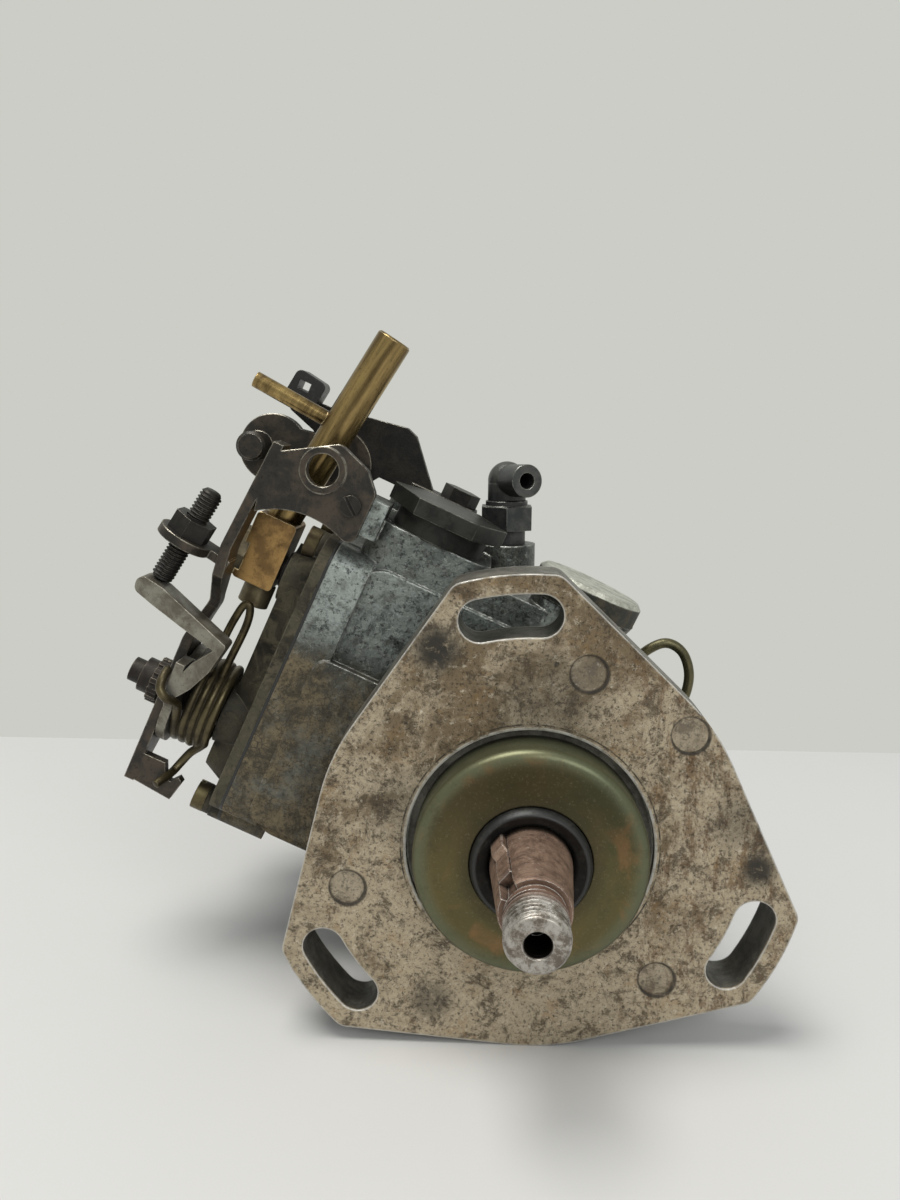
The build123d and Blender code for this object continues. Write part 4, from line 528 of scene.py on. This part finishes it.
PLUG = worn("plug_steel", (0.020, 0.021, 0.019), (0.044, 0.044, 0.038), (0.011, 0.010, 0.008),
            (0.36, 0.35, 0.30), rough=0.4, metal=0.8, patch=7)
WIRE = worn("olive_zinc_wire", (0.13, 0.115, 0.06), (0.085, 0.078, 0.045), (0.02, 0.017, 0.010),
            (0.34, 0.31, 0.22), rough=0.35, metal=0.85, patch=4, edge_amount=0.1)
ZINC = worn("dull_zinc", (0.22, 0.21, 0.18), (0.13, 0.12, 0.10), (0.025, 0.021, 0.015),
            (0.45, 0.43, 0.38), rough=0.42, metal=0.8)
HEAD = worn("oiled_head_steel", (0.075, 0.072, 0.062), (0.045, 0.042, 0.035), (0.013, 0.011, 0.009),
            (0.36, 0.34, 0.29), rough=0.38, metal=0.8, patch=12)
GROUND = worn("ground_steel", (0.42, 0.41, 0.39), (0.33, 0.32, 0.30), (0.06, 0.05, 0.04),
              (0.6, 0.59, 0.56), rough=0.3, metal=0.95)

LOOKS = {
    "pump_housing": HOUSING, "side_cover": COVER, "top_cap": CAP, "dust_cover": PASSIVATED,
    "shaft_oil_seal": RUBBER, "side_cover_gasket": GASKET, "shaft_key": SHAFT, "drive_shaft": SHAFT,
    "stop_lever_rod": BRASS_ROD, "stop_lever_hub": BRASS_HUB, "drive_bush": BRASS_HUB,
    "cable_clip": PLASTIC, "throttle_bracket": BLACK_STEEL, "rear_bracket": REAR_STEEL,
    "idle_lever": BLACK_STEEL, "throttle_lever": BROWN_STEEL, "throttle_spindle": KNOB_STEEL,
    "stop_lever_spindle": KNOB_STEEL, "stop_screw": SCREW_STEEL, "stop_screw_locknut": SCREW_STEEL,
    "bracket_fasteners": SCREW_STEEL, "spindle_nut": KNOB_STEEL, "side_cover_screws": YELLOW_SCREW,
    "stop_lever_nut": BEIGE_NUT, "spring_collar": BEIGE_NUT, "throttle_return_spring": SPRING,
    "inspection_plug": PLUG, "return_union": ELBOW_STEEL, "return_elbow": ELBOW_STEEL, "wire_clip": WIRE,
    "advance_cap_nut": ZINC, "advance_caps": ZINC, "inlet_union": ZINC, "delivery_valve_holders": ZINC,
    "stop_solenoid": ZINC, "regulating_valve": ZINC, "head_and_end_screws": SCREW_STEEL,
    "hydraulic_head": HEAD, "end_plate": HEAD,
}
for name, node in nodes.items():
    node.data.materials.clear()
    node.data.materials.append(LOOKS.get(name, GROUND))


# ---- pieces made here --------------------------------------------------------------------
def make_piece(name, verts, faces, look, slot, replaced=(), body=None, crease=50):
    """A closed mesh from points in metres; a piece that bends between two bodies has no body here."""
    mesh = bpy.data.meshes.new(name)
    mesh.from_pydata(verts, [], faces)
    work = bmesh.new()
    work.from_mesh(mesh)
    bmesh.ops.recalc_face_normals(work, faces=work.faces)
    work.to_mesh(mesh)
    work.free()
    mesh.shade_smooth()
    mesh.set_sharp_from_angle(angle=math.radians(crease))
    mesh.materials.append(look)
    obj = bpy.data.objects.new(name, mesh)
    scene.collection.objects.link(obj)
    if body:
        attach(obj, body)
    if replaced:
        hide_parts(*replaced)
    return obj


def along_y(u, v, w):
    """Local millimetres about the drive shaft: w runs back along Y."""
    return Vector((u, w, v)) / 1000


def circle(count):
    """Evenly spaced angles round a full turn."""
    return [math.tau * i / count for i in range(count)]


def lathe(rings, place, angles, radius=None, loop=False):
    """Points and faces of a turned form. rings holds (r, w); radius(r, w, angle) may change r."""
    n = len(angles)
    verts, faces, starts = [], [], []
    for r, w in rings:
        starts.append(len(verts))
        if r == 0:
            verts.append(place(0, 0, w))
            continue
        for a in angles:
            q = radius(r, w, a) if radius else r
            verts.append(place(q * math.cos(a), q * math.sin(a), w))
    pairs = list(zip(range(len(rings)), range(1, len(rings))))
    if loop:
        pairs.append((len(rings) - 1, 0))
    for i, j in pairs:
        a, b = starts[i], starts[j]
        for k in range(n):
            m = (k + 1) % n
            if rings[i][0] == 0:
                faces.append((a, b + m, b + k))
            elif rings[j][0] == 0:
                faces.append((a + k, a + m, b))
            else:
                faces.append((a + k, a + m, b + m, b + k))
    return verts, faces


def helix_depth(w, angle, pitch):
    """0 at the crest of a thread, 1 at its root."""
    phase = (w / pitch - angle / math.tau) % 1.0
    return min(1.0, max(0.0, 1.25 * (1 - abs(2 * phase - 1)) - 0.12))


def smooth_line(points, steps=8):
    """More points along a soft curve through the given ones."""
    out = []
    for i in range(len(points) - 1):
        p0, p1, p2 = points[max(i - 1, 0)], points[i], points[i + 1]
        p3 = points[min(i + 2, len(points) - 1)]
        for k in range(steps):
            t = k / steps
            out.append(0.5 * (2 * p1 + (p2 - p0) * t + (2 * p0 - 5 * p1 + 4 * p2 - p3) * t * t
                              + (3 * p1 - p0 - 3 * p2 + p3) * t ** 3))
    return out + [points[-1]]


def wire(points, r, sides=14):
    """Points and faces of a round wire with slightly rounded ends; points and r in metres."""
    verts, faces = [], []
    ahead = (points[1] - points[0]).normalized()
    side = ahead.orthogonal().normalized()
    last = len(points) - 1
    for i, p in enumerate(points):
        new = (points[min(i + 1, last)] - points[max(i - 1, 0)]).normalized()
        side = (ahead.rotation_difference(new) @ side).normalized()
        ahead = new
        across = ahead.cross(side)
        shrink = 0.7 if i in (0, last) else 1.0
        for k in range(sides):
            a = math.tau * k / sides
            verts.append(p + (side * math.cos(a) + across * math.sin(a)) * r * shrink)
    for i in range(last):
        for k in range(sides):
            m = (k + 1) % sides
            near, far = i * sides, (i + 1) * sides
            faces.append((near + k, near + m, far + m, far + k))
    faces.append(tuple(range(sides)))
    faces.append(tuple(last * sides + k for k in range(sides)))
    return verts, faces


# Drive shaft: bore, chamfered thread, shoulder, taper with its open keyway, collar. Millimetres.
SHAFT_END, SHOULDER, TAPER_START = -44.5, -31.7, -5.0
CENTRE_HOLE_R, CENTRE_HOLE_DEPTH = 2.7, 9
THREAD_START, THREAD_LENGTH = SHAFT_END + 0.25, SHOULDER - 2.4 - SHAFT_END - 0.25
THREAD_STEPS, TAPER_STEPS = 78, 23
THREAD_CREST, THREAD_ROOT, THREAD_PITCH = 6.95, 6.2, 1.5
SMALL_END, BIG_END = 8.0, 10.0
KEY_AT = math.radians(140)
KEYWAY_HALF, KEYWAY_FLOOR, KEYWAY_BACK = 2.0, 6.0, -8.0


def shaft_radius(r, w, a):
    """The ring's radius, cut back by the thread or by the keyway."""
    if THREAD_ROOT < r <= THREAD_CREST and SHAFT_END + 0.2 < w < SHOULDER - 2.6:
        return r - (r - THREAD_ROOT) * helix_depth(w, a, THREAD_PITCH)
    if SHOULDER - 0.01 < w < KEYWAY_BACK and r > 7:
        off = (a - KEY_AT + math.pi) % math.tau - math.pi
        if abs(off) < 0.8 and abs(r * math.sin(off)) < KEYWAY_HALF:
            return min(r, KEYWAY_FLOOR / math.cos(off))
    return r


def taper_at(w):
    """Radius of the shaft's taper at a place along it."""
    return BIG_END - (TAPER_START - w) * (BIG_END - SMALL_END) / (TAPER_START - SHOULDER)


shaft_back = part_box("drive_shaft")[1].y * 1000
shaft_rings = [
    (0, SHAFT_END + CENTRE_HOLE_DEPTH), (CENTRE_HOLE_R, SHAFT_END + CENTRE_HOLE_DEPTH),
    (CENTRE_HOLE_R, SHAFT_END + 0.5), (3.1, SHAFT_END), (5.7, SHAFT_END), (5.95, SHAFT_END + 0.1),
]
for i in range(THREAD_STEPS + 1):
    w = THREAD_START + THREAD_LENGTH * i / THREAD_STEPS
    shaft_rings.append((min(THREAD_CREST, 6.05 + (w - SHAFT_END - 0.25) * 0.85), w))
shaft_rings += [
    (6.35, SHOULDER - 2.2), (6.3, SHOULDER - 0.5), (6.6, SHOULDER - 0.05),
    (SMALL_END - 0.25, SHOULDER), (SMALL_END, SHOULDER + 0.25),
]
for i in range(1, TAPER_STEPS + 1):
    w = SHOULDER + 0.25 + (KEYWAY_BACK - SHOULDER - 0.3) * i / TAPER_STEPS
    shaft_rings.append((taper_at(w), w))
shaft_rings += [
    (taper_at(KEYWAY_BACK + 0.05), KEYWAY_BACK + 0.05), (BIG_END, TAPER_START), (BIG_END, 8.5),
    (12.55, 10), (12.55, 26.6), (20, 26.6), (20, 29.4), (9, 29.4), (9, 54), (7.8, 54),
    (3.95, shaft_back), (0, shaft_back),
]
# More angles beside the keyway, so that its edges come out straight.
key_edges = [
    KEY_AT + side * math.asin(KEYWAY_HALF / r) + shift
    for side in (-1, 1) for r in (9.7, 8.9, 8.1) for shift in (-0.003, 0.003)
]
shaft_angles = sorted(circle(120) + key_edges)
make_piece("drive_shaft_threaded", *lathe(shaft_rings, along_y, shaft_angles, shaft_radius), SHAFT,
           "shaft_steel", ["drive_shaft"], "drive", crease=40)

# Key: a bar in the keyway with its back end standing higher. The profile is along the shaft and
# out from it, the layers run across the bar, each with how much its outline is drawn in.
key_out = Vector((math.cos(KEY_AT), 0, math.sin(KEY_AT)))
key_side = Vector((-math.sin(KEY_AT), 0, math.cos(KEY_AT)))
KEY_PROFILE = [
    (-26.0, 6.1), (-26.0, 8.3), (-25.4, 8.75), (-17.0, 9.2), (-16.4, 9.6), (-15.9, 10.35),
    (-15.2, 10.6), (-9.0, 10.9), (-8.4, 10.6), (-8.4, 6.1),
]
KEY_LAYERS = [(-1.95, 0.25), (-1.7, 0.0), (1.7, 0.0), (1.95, 0.25)]
key_verts, key_faces = [], []
for side, inset in KEY_LAYERS:
    for w, h in KEY_PROFILE:
        out = h - inset if h > 7 else h + inset
        key_verts.append((key_out * out + key_side * side + Vector((0, w, 0))) / 1000)
around, last_layer = len(KEY_PROFILE), len(KEY_LAYERS) - 1
for layer in range(last_layer):
    near, far = layer * around, (layer + 1) * around
    for i in range(around):
        j = (i + 1) % around
        key_faces.append((near + i, near + j, far + j, far + i))
key_faces += [tuple(range(around)), tuple(last_layer * around + i for i in range(around))]
make_piece("shaft_key_bar", key_verts, key_faces, SHAFT, "shaft_steel", ["shaft_key"], "drive", crease=20)

# Pressed dust cover: a shallow cup that stands in the recess round the seal.
CUP_PROFILE = [
    (27.8, 2.4), (27.75, -6.7), (27.6, -7.5), (27.15, -8.25), (26.5, -8.8), (25.7, -9.05), (23.5, -9.0),
    (20.0, -8.75), (16.4, -8.6), (15.0, -8.8), (14.5, -8.9), (14.35, -8.7), (14.35, -8.0), (16.0, -7.8),
    (25.2, -8.1), (26.3, -7.8), (26.85, -6.9), (27.0, 2.4),
]
make_piece("dust_cover_cup", *lathe(CUP_PROFILE, along_y, circle(144), loop=True), PASSIVATED,
           "zinc_yellow", ["dust_cover"], "housing", crease=40)

# Oil seal: a ring of rubber with its lip on the shaft, standing out of the cup.
SEAL_PROFILE = [
    (14.2, 8), (14.2, -9.5), (14.1, -9.9), (13.3, -11.2), (13.0, -11.35), (12.6, -11.2), (12.4, -10.9),
    (10.9, -10.3), (9.95, -9.3), (9.85, -8.6), (10.6, -7.4), (12.5, -6.0), (12.5, 8),
]
make_piece("shaft_seal_lip", *lathe(SEAL_PROFILE, along_y, circle(120), loop=True), RUBBER,
           "seal_rubber", ["shaft_oil_seal"], "housing")

# Wire clip: one bent loop of round wire beside the housing.
clip_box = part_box("wire_clip")
clip_y = (clip_box[0].y + clip_box[1].y) / 2
clip_r = (clip_box[1].y - clip_box[0].y) / 2
CLIP_ROUTE = [(31.5, 20.5), (27.5, 27.5), (31.5, 35.5), (38.5, 40.0), (43.8, 37.8), (46.2, 31.5),
              (45.2, 24.5), (41.5, 18.5), (34.5, 14.0)]
clip_line = smooth_line([Vector((x / 1000, clip_y, z / 1000)) for x, z in CLIP_ROUTE])
make_piece("wire_clip_loop", *wire(clip_line, clip_r), WIRE, "zinc_yellow", ["wire_clip"], "housing")

# Stop screw with its thread, in millimetres from its foot in the upright frame.
SCREW_LEAN = math.radians(8.6)
screw_foot = Vector((-112.56, 28, 14.54))
screw_up = Vector((math.sin(SCREW_LEAN), 0, math.cos(SCREW_LEAN)))
screw_side = Vector((math.cos(SCREW_LEAN), 0, -math.sin(SCREW_LEAN)))
SCREW_CREST, SCREW_ROOT, SCREW_PITCH, SCREW_TOP = 2.98, 2.42, 1.0, 27.5
SCREW_STEPS = 213


def along_screw(u, v, w):
    return upright(*(screw_foot + screw_side * u + Vector((0, v, 0)) + screw_up * w))


def screw_radius(r, w, a):
    if r < SCREW_ROOT:
        return r
    return r - (r - SCREW_ROOT) * helix_depth(w, a, SCREW_PITCH)


screw_rings = [(0, 0.3), (1.9, 0.3), (2.3, 0.55)]
for i in range(1, SCREW_STEPS):
    w = 0.55 + (SCREW_TOP - 1.1) * i / SCREW_STEPS
    foot_chamfer = 2.43 + (w - 0.55) * 0.8
    top_chamfer = 2.43 + (SCREW_TOP - 0.55 - w) * 0.8
    screw_rings.append((min(SCREW_CREST, foot_chamfer, top_chamfer), w))
screw_rings += [(2.3, SCREW_TOP - 0.5), (2.0, SCREW_TOP - 0.1), (0, SCREW_TOP - 0.1)]
make_piece("stop_screw_threaded", *lathe(screw_rings, along_screw, circle(40), screw_radius), SCREW_STEEL,
           "dark_steel", ["stop_screw"], "housing", crease=60)

# Return spring: a leg hooked into the tab's notch, the coil, and a hook round the lever's neck.
COIL_Y, COIL_Z, COIL_R, WIRE_R = 44.0, -17.0, 12.0, 1.2
COIL_IN, COIL_OUT, COIL_STEPS = -85.9, -95.3, 147
COIL_FROM, COIL_TO = 232 + 4 * 360, 215
LEG_ROUTE = [
    (-93.1, 29.6, -39.4), (-92.3, 31.4, -38.3), (-91.5, 34.0, -37.3), (-91.0, 36.6, -36.6),
    (-90.2, 38.4, -34.0), (-89.0, 38.6, -30.6), (-87.2, 37.4, -27.6),
]
HOOK_ROUTE = [
    (-95.5, 31.0, -19.4), (-95.6, 27.4, -14.9), (-96.2, 23.6, -12.9), (-98.2, 21.3, -11.9),
    (-100.3, 21.4, -10.2), (-101.0, 22.8, -7.6), (-101.1, 25.4, -5.6),
]
coil_line = []
for i in range(1, COIL_STEPS):
    t = i / COIL_STEPS
    a = math.radians(COIL_FROM + (COIL_TO - COIL_FROM) * t)
    x = COIL_IN + (COIL_OUT - COIL_IN) * t
    coil_line.append(upright(x, COIL_Y + COIL_R * math.cos(a), COIL_Z + COIL_R * math.sin(a)))
leg_line = smooth_line([upright(*p) for p in LEG_ROUTE], 6)[:-1]
hook_line = smooth_line([upright(*p) for p in HOOK_ROUTE], 6)
spring = make_piece("return_spring_wire", *wire(leg_line + coil_line + hook_line, WIRE_R / 1000), SPRING,
                    "spring_steel", ["throttle_return_spring"])
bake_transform(spring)

# The two strands that rise from the coil to the collar, as one bent wire.
HAIRPIN_R = 1.1
HAIRPIN_ROUTE = [
    (-92.7, 38.5, -8), (-92.6, 36.8, 4.7), (-91.8, 36.0, 12.6), (-90.9, 35.8, 15.8), (-89.3, 35.8, 15.4),
    (-88.4, 36.0, 10.2), (-89.0, 37.0, -1.5), (-89.3, 38.5, -9),
]
hairpin_line = smooth_line([upright(*p) for p in HAIRPIN_ROUTE])
make_piece("spring_hairpin", *wire(hairpin_line, HAIRPIN_R / 1000), SPRING, "spring_steel", (), "housing")


# ---- floor, light and camera -------------------------------------------------------------
floor_look = Look("floor_white")
cloud = floor_look.noise(160, 4, 0.6)
floor_tint = floor_look.mix(cloud, FLOOR_COLOUR, tuple(c * 0.94 for c in FLOOR_COLOUR))
FLOOR = floor_look.finish(floor_tint, 0.6, 0.0)
floor_mesh = bpy.data.meshes.new("floor")
floor_corners = [(-FLOOR_HALF, -FLOOR_HALF), (FLOOR_HALF, -FLOOR_HALF),
                 (FLOOR_HALF, FLOOR_EDGE_Y), (-FLOOR_HALF, FLOOR_EDGE_Y)]
floor_mesh.from_pydata([Vector((x, y, FLOOR_Z)) for x, y in floor_corners], [], [(0, 1, 2, 3)])
floor_mesh.materials.append(FLOOR)
obj = bpy.data.objects.new("floor", floor_mesh)
scene.collection.objects.link(obj)

# The room lights the pump. What is seen behind the floor's edge is a plain pale grey.
world = bpy.data.worlds.new("room")
scene.world = world
world.use_nodes = True
room = world.node_tree
light = room.nodes["Background"]
light.inputs["Color"].default_value = ROOM_COLOUR
light.inputs["Strength"].default_value = ROOM_STRENGTH
backdrop = room.nodes.new("ShaderNodeBackground")
backdrop.inputs["Color"].default_value = BACKDROP_COLOUR
backdrop.inputs["Strength"].default_value = BACKDROP_STRENGTH
path = room.nodes.new("ShaderNodeLightPath")
seen = path.outputs["Is Camera Ray"]
for ray in ("Is Glossy Ray", "Is Transmission Ray"):
    either = room.nodes.new("ShaderNodeMath")
    either.operation = "MAXIMUM"
    room.links.new(seen, either.inputs[0])
    room.links.new(path.outputs[ray], either.inputs[1])
    seen = either.outputs[0]
choose = room.nodes.new("ShaderNodeMixShader")
room.links.new(seen, choose.inputs[0])
room.links.new(light.outputs[0], choose.inputs[1])
room.links.new(backdrop.outputs[0], choose.inputs[2])
room.links.new(choose.outputs[0], room.nodes["World Output"].inputs[0])


def lamp(name, place, aim, size, power, colour):
    """A round lamp that faces aim; metres and watts."""
    data = bpy.data.lights.new(name, "AREA")
    data.shape = "DISK"
    data.size = size
    data.energy = power
    data.color = colour
    obj = bpy.data.objects.new(name, data)
    obj.location = place
    obj.rotation_euler = (Vector(aim) - Vector(place)).to_track_quat("-Z", "Y").to_euler()
    scene.collection.objects.link(obj)


lamp("ceiling", (-0.25, -0.15, 1.15), (0, 0.05, 0), 0.7, 10, (1.0, 0.99, 0.96))
lamp("room_fill", (0.5, -1.0, 0.7), (0, 0, 0.03), 0.8, 5, (0.95, 0.98, 1.0))

camera = bpy.data.cameras.new("camera")
camera.sensor_fit = "VERTICAL"
camera.sensor_height = SENSOR_MM
camera.lens = FOCAL_PX * SENSOR_MM / FRAME_PX
camera_obj = bpy.data.objects.new("camera", camera)
yaw, pitch, roll = (math.radians(a) for a in CAMERA_TURN)
# yaw about Z, pitch downwards, roll about the line of sight
ahead = Vector((math.sin(yaw) * math.cos(pitch), math.cos(yaw) * math.cos(pitch), -math.sin(pitch)))
right = Vector((math.cos(yaw), -math.sin(yaw), 0))
up = right.cross(ahead)
right_rolled = right * math.cos(roll) + up * math.sin(roll)
up_rolled = up * math.cos(roll) - right * math.sin(roll)
turn = Matrix((right_rolled, up_rolled, -ahead)).transposed()
camera_obj.matrix_world = Matrix.Translation(CAMERA_PLACE) @ turn.to_4x4()
scene.collection.objects.link(camera_obj)
scene.camera = camera_obj
scene.view_settings.view_transform = "Standard"
